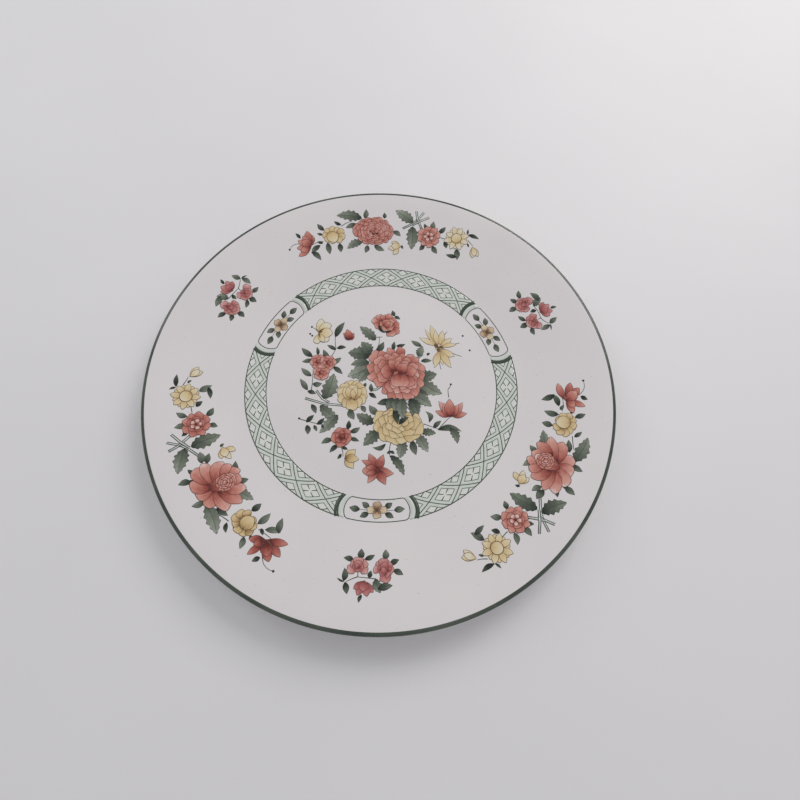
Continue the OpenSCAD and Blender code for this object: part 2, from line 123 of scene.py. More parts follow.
def laid(spot, lift):
    """A plan position laid on the face, in metres."""
    r = math.hypot(*spot)
    out, z = sunk(r, -lift)
    share = out / r if r > 0 else 1
    return Vector((spot[0] * share, spot[1] * share, z)) * MM


def spread(low, high, steps):
    return [low + (high - low) * i / steps for i in range(steps + 1)]


def polar(angle, r):
    turn = math.radians(angle)
    return Vector((r * math.cos(turn), r * math.sin(turn)))


# ---- Turned pieces ----

SEGMENTS = 320


def arc(centre, radius, start, end, steps):
    return [tuple(Vector(centre) + polar(a, radius)) for a in spread(start, end, steps)]


def edge_arc(radius, start, end, steps):
    return arc(sunk(FACE_END, EDGE_R), radius, start, end, steps)


EDGE_TOP = 90 + math.degrees(LIP_SLOPE)
EDGE_UNDER = math.degrees(LIP_SLOPE) - 90


def turned(name, outline, crease=None):
    """A closed outline of (radius, height) turned round the plate's axis."""
    points, rows = [], []
    for r, z in outline:
        if r == 0:
            rows.append([len(points)] * SEGMENTS)
            points.append((0, 0, z * MM))
            continue
        rows.append(range(len(points), len(points) + SEGMENTS))
        for i in range(SEGMENTS):
            x, y = polar(360 * i / SEGMENTS, r * MM)
            points.append((x, y, z * MM))
    faces = []
    for low, high in zip(rows, rows[1:] + rows[:1]):
        for i in range(SEGMENTS):
            j = (i + 1) % SEGMENTS
            ring = list(dict.fromkeys((low[i], high[i], high[j], low[j])))
            if len(ring) > 2:
                faces.append(ring)
    mesh = bpy.data.meshes.new(name)
    mesh.from_pydata(points, [], faces)
    mesh.shade_smooth()
    if crease is not None:
        ring = set(rows[crease])
        for edge in mesh.edges:
            edge.use_edge_sharp = ring.issuperset(edge.vertices)
    return placed(name, mesh)


def face_radii(steps):
    """Radii along the face: a fine step on the curves and a wider one on straight stretches."""
    radii = [0, 8, 20, 32, 44, 52, 57]
    radii += spread(WELL_R, CURVE_R, 3 * steps)
    radii += spread(CURVE_R, LIP_R, 2 * steps)[1:]
    radii += spread(LIP_R, FACE_END, steps)[1:]
    return radii


def under_path(cover, steps):
    """The underside from the edge in to the foot, at a depth of cover into the wall."""
    ends = spread(FACE_END, FOOT_R + FOOT_FILLET + 1, steps)
    return [sunk(r, wall_at(r) - cover) for r in ends]


def glaze_coat():
    steps = 7
    foot_top = sunk(FOOT_R, wall_at(FOOT_R))[1]
    fillet = (FOOT_R + FOOT_FILLET, foot_top - FOOT_FILLET + 0.2)
    outer = [sunk(r, 0) for r in face_radii(steps)]
    outer += edge_arc(EDGE_R, EDGE_TOP, EDGE_UNDER, 20)[1:]
    outer += under_path(0, 14)[1:]
    outer += arc(fillet, FOOT_FILLET, 100, 180, 6)
    outer += [(FOOT_R, BARE_H + 0.25), (FOOT_R - 0.08, BARE_H + 0.08), (FOOT_R - 0.25, BARE_H)]
    inner = [sunk(r, GLAZE_T) for r in face_radii(2)]
    inner += edge_arc(EDGE_R - GLAZE_T, EDGE_TOP, EDGE_UNDER, 8)[1:]
    inner += under_path(GLAZE_T, 6)[1:]
    inner += [(FOOT_R - GLAZE_T, foot_top), (FOOT_R - GLAZE_T, BARE_H)]
    return turned("glaze_coat_skin", outer + inner[::-1])


def base_glaze():
    inside = FOOT_R - FOOT_W
    fillet = (inside - BASE_FILLET, BASE_Z - BASE_FILLET)
    outline = [(r, BASE_Z) for r in (0, 15, 30, 45, 60)]
    outline += arc(fillet, BASE_FILLET, 90, 0, 6)
    outline += [(inside, BARE_H + 0.2), (inside + 0.1, BARE_H), (inside + GLAZE_T, BARE_H)]
    outline += [(inside + GLAZE_T, BASE_Z + GLAZE_T), (0, BASE_Z + GLAZE_T)]
    return turned("base_glaze_skin", outline[::-1], crease=1)


def edge_line():
    """The enamel line round the edge, thinned to nothing at both of its borders."""
    border = FACE_END - EDGE_INSET
    outer = [sunk(border, 0), sunk(border + 0.15, -0.8 * ENAMEL)]
    for a in spread(EDGE_TOP, EDGE_LOW, 18):
        height = ENAMEL * min(1, (a - EDGE_LOW) / 12)
        outer.append(edge_arc(EDGE_R + height, a, a, 1)[0])
    inner = edge_arc(EDGE_R - 0.02, EDGE_LOW, EDGE_TOP, 10)
    inner.append(sunk(border, 0.02))
    return turned("edge_line_band", outer + inner)


# ---- Enamel shapes ----
# Each is a thin closed solid on the face. Shapes of one piece share a height only where they don't
# meet, so that no two of its tops coincide. The mesh carries two attributes for the materials:
# shape is (along, across, nearness to the outline) and tone is (lightness, depth, strength of the
# veins).

SUNK_IN = 0.006
FIRST_LIFT = 0.012
LAYER_LIFT = 0.002
LEAF_LAYER = 1
LEAF_STEP = 0.5
FLOWER_LAYER = 60

# The half width of a blade goes as sin(pi * along ** skew) ** blunt; teeth and ruffles break it.
Form = namedtuple("Form", "skew blunt teeth bite ruffle points", defaults=(0, 0, 0, 13))
LEAF = Form(0.85, 0.95)
SAW_LEAF = Form(0.82, 0.8, teeth=7, bite=0.18, points=15)
BUD = Form(0.62, 0.8)
DISC = Form(1, 0.5, points=12)
PETAL = Form(1.35, 0.5, ruffle=0.05)
RUFFLED = Form(1.3, 0.42, ruffle=0.09, points=15)
LOTUS = Form(1.2, 0.8)
LILY = Form(1.05, 1.15, ruffle=0.06)
CUP = Form(0.95, 0.55, ruffle=0.03)


class Enamel:
    """Shapes of one colour, gathered into one mesh."""

    def __init__(self, seed, layer=FLOWER_LAYER, step=1):
        self.rng = random.Random(seed)
        self.points, self.shape, self.tone = [], [], []
        self.tops, self.others = [], []
        self.layer = layer
        self.step = step

    def vary(self, spread_by):
        return self.rng.uniform(-spread_by, spread_by)

    def put(self, spot, lift, shape, tone):
        """A new point of the mesh."""
        self.points.append(laid(spot, lift))
        self.shape.append(shape)
        self.tone.append(tone)
        return len(self.points) - 1

    def lift(self, layer=None):
        """The height of a layer, or else of the next one up."""
        if layer is None:
            layer = self.layer
            self.layer += self.step
        return FIRST_LIFT + LAYER_LIFT * layer

    def blade(self, form, base, tip, width, tone, ink=0.3, bend=0.0):
        """A leaf or petal from base to tip, as rings round its middle."""
        base, tip = Vector(base), Vector(tip)
        run = tip - base
        side = Vector((-run.y, run.x)).normalized()
        phase = self.rng.uniform(0, 6.28)
        lift = self.lift()
        ahead = [(1 - math.cos(math.pi * k / form.points)) / 2 for k in range(form.points + 1)]
        outline = []
        for hand, stations in ((1, ahead[:-1]), (-1, ahead[:0:-1])):
            for k, a in enumerate(stations):
                b = math.sin(math.pi * a ** form.skew) ** form.blunt
                if form.teeth and 0 < k < form.points - 1:
                    b *= 1 + form.bite * (1 if k % 2 else -1) * math.sin(math.pi * a) ** 0.3
                wave = form.ruffle * a * math.sin(5.1 * a + 4.3 * hand * b + phase)
                outline.append((a + 0.5 * wave, hand * b * (1 + wave)))

        def place(a, b):
            curve = bend * run.length * 4 * a * (1 - a)
            return base + run * a + side * (b * width / 2 + curve)

        centre = place(0.5, 0)
        rings = []
        for share, edge in ((1, 1), (None, 0.55), (None, 0), (0.45, 0)):
            ring = []
            for a, b in outline:
                reach = max((place(a, b) - centre).length, 0.01)
                f = share or max(1 - ink * (1 if edge else 2) / reach, 0.72 if edge else 0.5)
                at = (0.5 + (a - 0.5) * f, b * f)
                ring.append(self.put(place(*at), lift, (*at, edge), tone))
            rings.append(ring)
        middle = self.put(centre, lift, (0.5, 0, 0), tone)
        foot = [self.put(place(a, b), -SUNK_IN, (a, b, 1), tone) for a, b in outline]
        count = len(outline)
        for i in range(count):
            j = (i + 1) % count
            for outer, inner in zip(rings, rings[1:]):
                self.tops.append((outer[j], outer[i], inner[i], inner[j]))
            self.tops.append((rings[-1][j], rings[-1][i], middle))
            self.others.append((rings[0][i], rings[0][j], foot[j], foot[i]))
        self.others.append(foot)

    def slab(self, rows, shapes, tone, layer=None):
        """A sheet with a wall round it, from rows of plan positions."""
        lift = self.lift(layer)
        top = [[self.put(p, lift, s, tone) for p, s in zip(*pair)] for pair in zip(rows, shapes)]
        low = [[self.put(p, -SUNK_IN, s, tone) for p, s in zip(*pair)] for pair in zip(rows, shapes)]
        end, last = len(rows) - 1, len(rows[0]) - 1
        for i in range(end):
            for j in range(last):
                self.tops.append((top[i][j], top[i + 1][j], top[i + 1][j + 1], top[i][j + 1]))
                self.others.append((low[i][j + 1], low[i + 1][j + 1], low[i + 1][j], low[i][j]))
        rim = [(i, 0) for i in range(end)] + [(end, j) for j in range(last)]
        rim += [(i, last) for i in range(end, 0, -1)] + [(0, j) for j in range(last, 0, -1)]
        for (i, j), (m, n) in zip(rim, rim[1:] + rim[:1]):
            self.others.append((top[i][j], low[i][j], low[m][n], top[m][n]))

    def line(self, path, start, end, tone, layer=None, closed=False):
        """A ribbon along a path, of a width that goes from start to end, if there is an end."""
        end = start if end is None else end
        path = [Vector(p) for p in path]
        if closed:
            path = path + path[:1]
        rows, shapes = [], []
        steps = len(path) - 1
        for k, p in enumerate(path):
            before = path[k - 1] if k else (path[-2] if closed else p)
            after = path[k + 1] if k < steps else (path[1] if closed else p)
            ahead = (after - before).normalized()
            width = start + (end - start) * k / steps
            side = Vector((-ahead.y, ahead.x)) * width / 2
            rows.append((p - side, p + side))
            shapes.append(((0.5, -1, 0), (0.5, -0.9, 0)))
        self.slab(rows, shapes, tone, layer)

    def stem(self, base, tip, width=0.5, bend=0.06):
        base, tip = Vector(base), Vector(tip)
        run = tip - base
        side = Vector((-run.y, run.x))
        path = [base + run * t + side * bend * 4 * t * (1 - t) for t in spread(0, 1, 8)]
        self.line(path, width, 0.6 * width, (0.25, 0.1, 0))

    def dot(self, centre, size):
        reach = Vector((size / 2, 0))
        ends = Vector(centre) - reach, Vector(centre) + reach
        self.blade(DISC, *ends, size, (0.1, 0.6, 1), ink=0.1)

    def piece(self, name, material, slot, *nodes):
        """Makes the mesh, gives it its material and body, and hides the CAD nodes it stands for."""
        mesh = bpy.data.meshes.new(name)
        mesh.from_pydata(self.points, [], self.tops + self.others)
        smooth = [True] * len(self.tops) + [False] * len(self.others)
        mesh.polygons.foreach_set("use_smooth", smooth)
        for label, values in (("shape", self.shape), ("tone", self.tone)):
            layer = mesh.attributes.new(label, "FLOAT_VECTOR", "POINT")
            layer.data.foreach_set("vector", [x for v in values for x in v])
        finish_piece(placed(name, mesh), material, slot, *nodes)


def finish_piece(piece, material, slot, *nodes):
    piece.data.materials.append(material)
    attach(piece, "root")
    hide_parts(*nodes)


# ---- Flowers ----
# A flower's own axes are x along turn and y across it, so one set of rings serves any place.

INK_W = 0.24


def petals(pen, form, shapes, place=Vector, tone=0.5, deep=0.05):
    """Petals as (base x, base y, tip x, tip y, width), with the hindmost first."""
    for x0, y0, x1, y1, width in shapes:
        shade = (tone + pen.vary(0.11), deep, 1)
        pen.blade(form, place((x0, y0)), place((x1, y1)), width, shade, INK_W, pen.vary(0.05))


class Flower:
    """A place and a size that petals are drawn in: reach along x, and squash times it across."""

    def __init__(self, pen, centre, reach, turn=0.0, squash=1.0, tone=0.5):
        self.pen, self.centre, self.reach = pen, Vector(centre), reach
        self.ahead = polar(turn, 1)
        self.side = polar(turn + 90, squash)
        self.tone = tone

    def at(self, angle, share):
        p = polar(angle, share * self.reach)
        return self.centre + self.ahead * p.x + self.side * p.y

    def petal(self, form, angle, start, end, width, light=0.0, deep=0.0):
        tone = (self.tone + light + self.pen.vary(0.07), deep, 1)
        ends = self.at(angle, start), self.at(angle, end)
        self.pen.blade(form, *ends, width * self.reach, tone, INK_W, self.pen.vary(0.03))

    def ring(self, form, count, start, end, width, light=0.0, deep=0.0, turn=0.0):
        for k in range(count):
            reach = end * (1 + self.pen.vary(0.05))
            angle = turn + 360 * k / count + self.pen.vary(4)
            self.petal(form, angle, start, reach, width, light, deep)

    def heart(self, share, light, deep):
        """A small disc, such as a boss or an eye."""
        ends = self.at(180, share), self.at(0, share)
        tone = (self.tone + light, deep, 1)
        self.pen.blade(DISC, *ends, 2 * share * self.reach, tone, 0.2)


def full_rose(pen, centre, reach, turn, squash, tone):
    """A dense, many-ringed bloom whose rings draw in towards one side."""
    for k in range(6):
        out = 1 - 0.15 * k
        f = Flower(pen, Vector(centre) + polar(turn - 115, 0.22 * k), reach, turn, squash, tone)
        count = max(5, 14 - 2 * k)
        width = 3.3 * math.pi * (out - 0.08) / count
        f.ring(RUFFLED, count, out - 0.5, out, width, 0.02 * k, 0.1 if k % 2 else 0, 23 * k)
    f.ring(PETAL, 3, -0.1, 0.16, 0.26, 0.1, 0.0, 30)


def rosette(pen, centre, reach, turn, count, tone, eye=-0.2):
    """A flat flower with broad petals round a darker or a white middle."""
    f = Flower(pen, centre, reach, turn, 1.0, tone)
    f.ring(RUFFLED, count, 0.05, 1.0, 5.6 / count, 0.02)
    f.ring(PETAL, 5, 0.05, 0.64, 0.66, -0.06, 0.1, 180 / count)
    if eye > 0:
        f.ring(PETAL, 5, 0.05, 0.44, 0.36, eye, 0.0, 10)
        f.heart(0.12, -0.3, 0.6)
    else:
        f.heart(0.26, eye, 0.2)


BOSS = 0.42


def star(pen, centre, reach, turn, count, tone):
    """Pointed petals all round a round boss."""
    f = Flower(pen, centre, reach, turn, 1.0, tone)
    f.ring(LOTUS, count, 0.1, 0.88, 0.46, -0.1, 0.1, 180 / count)
    f.ring(LOTUS, count, 0.1, 1.0, 0.46, 0.0)
    f.heart(BOSS + 0.03, -0.5, 0.1)
    f.heart(BOSS, 0.68 - tone, 0.0)


def bud(pen, base, tip, width, tone=0.5):
    """Three petals folded over each other."""
    base, tip = Vector(base), Vector(tip)
    f = Flower(pen, base, (tip - base).length, math.degrees(math.atan2(*(tip - base).yx)), 1, tone)
    broad = width / f.reach
    f.petal(LOTUS, 14, 0, 0.98, 0.62 * broad, -0.1, 0.15)
    f.petal(LOTUS, -14, 0, 0.98, 0.62 * broad, -0.1, 0.15)
    f.petal(LOTUS, 0, 0, 0.86, 0.7 * broad, 0.1, 0.0)


BRANCH_W = 1.1


def branch(pen, path):
    """A cut branch: a pale band between two thin dark lines."""
    path = [Vector(p) for p in path]
    ahead = (path[-1] - path[0]).normalized()
    side = Vector((-ahead.y, ahead.x)) * BRANCH_W / 2
    pen.line(path, BRANCH_W, 0.8 * BRANCH_W, (1.6, 0, 0))
    for hand in (-1, 1):
        pen.line([p + hand * side for p in path], 0.42, 0.34, (0.05, 0.1, 0))


TOOTHED_FROM = 4.4
MIDDLING_FROM = 3


def draw_leaves(pen, leaves, stems=(), branches=(), place=Vector, darker=0.0):
    """Leaves as (base x, base y, tip x, tip y, width) with a bend if any, and stems without.

    Large leaves are light and toothed, and small ones dark.
    """
    for path in branches:
        branch(pen, [place(p) for p in path])
    for x0, y0, x1, y1 in stems:
        pen.stem(place((x0, y0)), place((x1, y1)), bend=pen.vary(0.1))
    for x0, y0, x1, y1, width, *bend in leaves:
        form, light = LEAF, 0.24
        if width >= TOOTHED_FROM:
            form, light = SAW_LEAF, 0.58
        elif width >= MIDDLING_FROM:
            light = 0.44
        tone = (light - darker + pen.vary(0.17), 0.05 + pen.rng.random() * 0.15, 1)
        bend = bend[0] if bend else pen.vary(0.09)
        pen.blade(form, place((x0, y0)), place((x1, y1)), width, tone, 0.2, bend)


# ---- Trellis sectors, centred on 90 degrees and every third of a turn ----

BAND_IN = 66.9
BAND_OUT = 79.2
BAND_MID = (BAND_IN + BAND_OUT) / 2
BAND_HALF = (BAND_OUT - BAND_IN) / 2
DIAMONDS = 6
INNER_SCALE = 0.645
OUTLINE_W = 0.5
BAR_ANGLE = 14.6
BAR_W = 1.7
BAR_BULGE = 1.4
SECTOR_HALF = 60 - BAR_ANGLE
PITCH = 2 * SECTOR_HALF / DIAMONDS
CARTOUCHE_HALF = 12.3
CARTOUCHE_BULGE = 1.6

MAIN_W = 0.48
FRAME_W = 0.38
ARM_W = 0.6
FRAME_LAYER = 8
ARM_LAYER = 11
MAIN_LAYER = 12
OUTLINE_LAYER = 14
BAR_LAYER = 15
CARTOUCHE_LAYER = 4


def third(k):
    return 120 * (k - 1)


def band(k, u, v):
    return polar(90 + third(k) + u * PITCH, BAND_MID + v * BAND_HALF)


def sector_end(v):
    """Where a sector ends, in diamonds from its middle."""
    return (SECTOR_HALF - 0.5 * BAR_W - BAR_BULGE * (1 - v * v)) / PITCH


def lattice_line(pen, k, a, b, start, end, tone, layer):
    """A line between two places in the band, kept inside the sector."""
    run = [(a[0] + (b[0] - a[0]) * t, a[1] + (b[1] - a[1]) * t) for t in spread(0, 1, 20)]
    inside = [p for p in run if abs(p[1]) <= 1.001 and abs(p[0]) <= sector_end(p[1])]
    if len(inside) > 1:
        pen.line([band(k, *p) for p in inside[:-1:2] + inside[-1:]], start, end, tone, layer)


def trellis_lines(k):
    pen = Enamel(100 + k)
    half = DIAMONDS / 2
    for i in range(DIAMONDS + 2):
        c = i - half - 0.5
        for step, lean in enumerate((-0.5, 0.5)):
            ends = (c - lean, -1), (c + lean, 1)
            lattice_line(pen, k, *ends, MAIN_W, None, (0.9, 0, 0), MAIN_LAYER + step)
    cells = [(i - half, 0) for i in range(DIAMONDS + 1)]
    cells += [(i - half + 0.5, v) for i in range(DIAMONDS) for v in (-1, 1)]
    s = INNER_SCALE
    for u, v in cells:
        corners = [(u - s / 2, v), (u, v + s), (u + s / 2, v), (u, v - s)]
        for turn, (a, b) in enumerate(zip(corners, corners[1:] + corners[:1])):
            lattice_line(pen, k, a, b, FRAME_W, None, (0.65, 0, 0), FRAME_LAYER + turn % 2)
        for side, up in ((1, 1), (1, -1), (-1, 1), (-1, -1)):
            outer = (u + side * s / 4, v + up * s / 2)
            inner = (u + side * s * 0.05, v + up * s * 0.1)
            lattice_line(pen, k, outer, inner, ARM_W, 0.5 * ARM_W, (0.9, 0, 0), ARM_LAYER)
    for r in (BAND_IN + OUTLINE_W / 2, BAND_OUT - OUTLINE_W / 2):
        path = [polar(90 + third(k) + a, r) for a in spread(-SECTOR_HALF, SECTOR_HALF, 60)]
        pen.line(path, OUTLINE_W, None, (1, 0, 1), OUTLINE_LAYER)
    bar = math.radians(BAR_W)
    for side in (-1, 1):
        path = [band(k, side * sector_end(v), v) for v in spread(-1, 1, 12)]
        pen.line(path, bar * BAND_IN, bar * BAND_OUT, (1, 0, 1), BAR_LAYER)
    return pen


def trellis_tint(k):
    """The wash under the lattice: shape holds the place in the lattice, for the material."""
    pen = Enamel(200 + k)
    rows, shapes = [], []
    for share in spread(1, -1, 120):
        row, shape = [], []
        for v in spread(-1, 1, 10):
            u = share * sector_end(v)
            row.append(band(k, u, v))
            shape.append((u, v, 0))
        rows.append(row)
        shapes.append(shape)
    pen.slab(rows, shapes, (0.5, 0, 0), layer=0)
    return pen


# ---- Cartouches, centred on 30 degrees and every third of a turn ----

CARTOUCHE = 30
CARTOUCHE_REACH = 4.6
CARTOUCHE_LEAVES = [
    ((3.3, 1.4), (6.7, 4), 2.7), ((3.3, -1.4), (6.7, -4), 2.7), ((7.1, 0), (11.7, 0), 2.9)
]


def cartouche_point(k, t, r):
    return polar(CARTOUCHE + third(k) + t, BAND_MID + r)


def cartouche_end(v, inset=0.0):
    return CARTOUCHE_HALF + CARTOUCHE_BULGE * (1 - v * v) - inset


def cartouche_frame(k):
    pen = Enamel(300 + k)
    half = BAND_HALF - OUTLINE_W / 2
    inset = math.degrees(OUTLINE_W / 2 / BAND_MID)
    corner = 0.88
    path = []
    for side in (-1, 1):
        stations = spread(-corner, corner, 10)
        for v in stations if side > 0 else stations[::-1]:
            path.append(cartouche_point(k, side * cartouche_end(v, inset), v * half))
        for t in spread(side * (CARTOUCHE_HALF - 0.8), -side * (CARTOUCHE_HALF - 0.8), 24):
            path.append(cartouche_point(k, t, side * half))
    pen.line(path, OUTLINE_W, None, (0.9, 0, 1), CARTOUCHE_LAYER, closed=True)
    for side in (-1, 1):
        rows = []
        for v in spread(-1, 1, 10):
            bar = BAR_ANGLE + BAR_BULGE * (1 - v * v)
            rows.append([cartouche_point(k, side * t, v * BAND_HALF)
                         for t in spread(cartouche_end(v, -0.3), bar, 3)])
        if side < 0:
            rows = rows[::-1]
        shapes = [[(0, 0, 0)] * len(row) for row in rows]
        pen.slab(rows, shapes, (0.0, 0, 1), layer=0)
    return pen


def cartouche_flower(k):
    pen = Enamel(400 + k)
    centre = cartouche_point(k, 0, -0.4)
    f = Flower(pen, centre, CARTOUCHE_REACH, CARTOUCHE + third(k), 1.2, 0.55)
    for angle, width, light in ((180, 1.1, -0.2), (0, 1.05, -0.12), (90, 0.86, 0.08), (270, 0.86, 0.1)):
        f.petal(RUFFLED, angle, 0.0, 1.0, width, light)
    for quarter in range(4):
        f.petal(PETAL, 45 + 90 * quarter, 0, 0.5, 0.4, -0.45, 0.1)
    f.heart(0.24, -0.6, 0.4)
    return pen


def cartouche_leaves(k):
    pen = Enamel(500 + k, LEAF_LAYER, LEAF_STEP)
    for base, tip, width in CARTOUCHE_LEAVES:
        for side in (-1, 1):
            ends = [cartouche_point(k, side * t, r) for t, r in (base, tip)]
            pen.blade(LEAF, *ends, 1.2 * width, (0.42 + pen.vary(0.1), 0.1, 1), 0.2, pen.vary(0.06))
    for side in (-1, 1):
        pen.stem(cartouche_point(k, side * 2.6, 0), cartouche_point(k, side * 7.8, 0), 0.35, 0)
    return pen


# ---- Large sprays and sprigs on the side ----
# Places are (angle from the middle, radius). Leaves are (angle and radius of the base, the same
# of the tip, width in mm) with a bend if any, and stems without a width. They lie close to the
# design's plainer ones.

SPRAY = 90
SPRAY_LEAVES = [
    (30.3, 110.5, 31, 115, 2.2), (23.8, 102.5, 25.6, 104.5, 2), (25, 101.8, 29.3, 98.6, 3.3),
    (28.9, 99.6, 27, 92.2, 3.6), (22.2, 102, 22.9, 94, 3.7), (18.1, 99.5, 18.5, 93.5, 3.6),
    (21.9, 110.5, 23.3, 116, 3.1), (22.9, 108, 24.5, 110, 1.9), (15.9, 111.5, 17.9, 115, 2.3),
    (17.9, 110, 19, 111.5, 1.4), (8.8, 114.2, 16.6, 118.4, 6.8), (11, 111, 14.7, 109, 3.3),
    (7.9, 114, 7.1, 120.2, 3.4), (1.4, 113.5, 1.4, 117.5, 2.6), (9.5, 98.5, 15.8, 95, 5.1),
    (7.7, 95.5, 9.1, 90.5, 3.3), (5.3, 95, 1.2, 91.5, 3.6), (-5.4, 96, -6.1, 93.5, 1.6),
    (-1.8, 105, -4.6, 102, 3.3), (-8.2, 112.5, -2.1, 119.5, 7), (-8.2, 109.6, -9.4, 94, 7.4, 0.02),
    (-13, 109.5, -11.9, 113, 2.3), (-14.5, 110, -14.7, 116, 3.4), (-17.4, 109, -19, 114.5, 3.1),
    (-14, 98.5, -12.6, 94.5, 3), (-16.8, 99.5, -19.5, 95.5, 3.4), (-20.3, 104.5, -22, 101, 2.8),
    (-26.5, 115, -25.9, 118.5, 1.4), (-26.7, 115, -30.5, 115.5, 2.6), (-28, 109.5, -29, 107.5, 1.3),
    (-25.4, 103.2, -27.6, 96.6, 3.8), (-27, 98.6, -22.8, 97, 2.8)
]
SPRAY_STEMS = [
    (23.5, 103.5, 28, 103.5), (-18.6, 106.5, -22.5, 107.5), (16, 110.5, 12, 113),
    (-27.5, 111.5, -30, 109.5)
]
SPRAY_BRANCHES = [
    ((-5, 107.4), (-8.2, 111.6), (-9.6, 115), (-11, 120.6)), ((-8.6, 120.6), (-9.4, 115), (-9.4, 111.6)),
    ((-11.8, 108), (-10.2, 112.8), (-9.4, 115.6)), ((-8, 110.4), (-10.4, 114.2), (-13, 117.8))
]
# How far each spray is turned from its even place, and how much darker its flowers are.
SPRAY_TURNS = (0, 1.3, -2)
SPRAY_DARKER = (0, 0.24, 0.04)

# Petals as (angle, radius) at the base, the same at the tip, and width in mm.
SIDE_LOTUS = [
    (27.6, 107, 31.2, 113, 5), (27.3, 106, 25.6, 115.8, 3.8), (28, 105.2, 33, 108.6, 4.4),
    (27.3, 105.4, 23.2, 109.8, 4.2), (27.2, 105, 33, 101.6, 4), (27.4, 106, 25.2, 110.4, 4.6),
    (27, 105, 30.2, 111.4, 6.2)
]
FANNED_LOTUS = [
    (28.2, 103.4, 26.2, 109.8, 4.2), (28.2, 103, 27.3, 113.6, 5.4), (28.4, 103, 31.3, 110, 4.6),
    (28.4, 102.6, 33, 105.6, 4.2), (28.6, 101.9, 33.9, 100.3, 3.6), (28.4, 103, 29.2, 111.6, 5),
    (28.4, 102.3, 32.3, 102.8, 4.4), (28.2, 102.6, 30.2, 108.8, 6)
]
OPEN_PEONY = [
    (6, 107, 9.8, 114.4, 7.4), (6, 107, 5.4, 116.4, 8.6), (5.8, 107, 1.8, 116.4, 8.6),
    (5, 107, -1.6, 112.6, 8), (6, 107, 13.5, 107, 7.6), (5, 107, -2.4, 106.6, 6.2),
    (4.5, 106, -0.8, 98, 7.4), (7, 106.5, 14, 99.6, 6.8), (8, 104, 10.8, 93.6, 6.4),
    (5, 101, 4.2, 91.6, 6.4), (6.5, 100, 7.2, 92.8, 6.4), (4, 102, 1.2, 94.6, 5.4),
    (5.4, 109.4, 6.2, 95, 9)
]
CUPPED_FLOWER = [
    (20, 106, 21.5, 111.2, 4.8), (19.6, 106, 19, 112, 5), (18.8, 106, 16.8, 110, 4.6),
    (18.5, 105.5, 15.4, 107.8, 4.8), (18.5, 104.5, 15.4, 103.6, 5), (19, 103.5, 17, 100.4, 4.8),
    (20.6, 106, 23, 108.2, 4.6), (20.8, 104.5, 22.8, 103.6, 4.6), (20.2, 103, 21, 100.6, 4)
]
YELLOW_BUD = [
    (-4.6, 96, -1.4, 97.4, 3), (-4.4, 94, -2.4, 89.2, 3.4), (-4.8, 95, -0.2, 93, 3.6),
    (-5.2, 95, -1.4, 94.8, 4.8)
]
# Leaves that only the sprays with a peony have.
PEONY_LEAVES = [
    (28.7, 113.4, 27.6, 117, 2.6), (-2.4, 107, -5.9, 106.2, 4), (1.3, 115, 0.6, 121.2, 3.5),
    (-0.4, 112.4, -2.2, 114.4, 2.2)
]
# Stamens as (base, tip), each with a dot at its tip: of the fanned lotus, then of the other one.
STAMENS = ((31.6, 107.6), (35.4, 106.8)), ((29, 112.4), (33.4, 115.6))


def spray_place(k):
    return lambda p: polar(SPRAY + third(k) + SPRAY_TURNS[k - 1] + p[0], p[1])


def spray_coral(k):
    pen = Enamel(600 + k)
    at = spray_place(k)
    out = SPRAY + third(k)
    darker = SPRAY_DARKER[k - 1]
    petals(pen, LOTUS, FANNED_LOTUS if k == 1 else SIDE_LOTUS, at, 0.42 - darker)
    if k == 1:
        full_rose(pen, at((5.2, 105)), 9.6, out, 1.36, 0.36)
    else:
        petals(pen, PETAL, OPEN_PEONY, at, 0.5, 0)
        dome = Flower(pen, at((6, 101)), 4.8, out, 1, 0.46)
        for i, (count, reach) in enumerate(((8, 1), (7, 0.75), (5, 0.5), (3, 0.25))):
            dome.ring(RUFFLED, count, reach - 0.5, reach, 0.9 - 0.1 * i, 0.06 * i, 0.0, 25 * i)
    rosette(pen, at((-14.6, 105)), 7.4, out + 8, 8, 0.42 - 0.6 * darker, 0.55)
    return pen


def spray_yellow(k):
    pen = Enamel(700 + k)
    at = spray_place(k)
    out = SPRAY + third(k)
    darker = SPRAY_DARKER[k - 1]
    petals(pen, PETAL, CUPPED_FLOWER, at, 0.46 - darker)
    pen.blade(CUP, at((20.1, 108.8)), at((19.5, 100.8)), 7.8, (0.68 - darker, 0, 1), 0.3)
    petals(pen, LOTUS, YELLOW_BUD, at, 0.72)
    star(pen, at((-23.8, 109.6)), 8, out + 14, 8, 0.85 if k == 1 else 0.6)
    bud(pen, at((-30, 108.8)), at((-33, 103.4)), 5.4, 0.85)
    return pen


def spray_leaves(k):
    pen = Enamel(800 + k, LEAF_LAYER, LEAF_STEP)
    leaves = SPRAY_LEAVES if k == 1 else SPRAY_LEAVES[1:] + PEONY_LEAVES
    draw_leaves(pen, leaves, SPRAY_STEMS, SPRAY_BRANCHES, spray_place(k))
    base, tip = [spray_place(k)(p) for p in STAMENS[k > 1]]
    pen.stem(base, tip, 0.36, -0.18)
    pen.dot(tip, 1.3)
    return pen


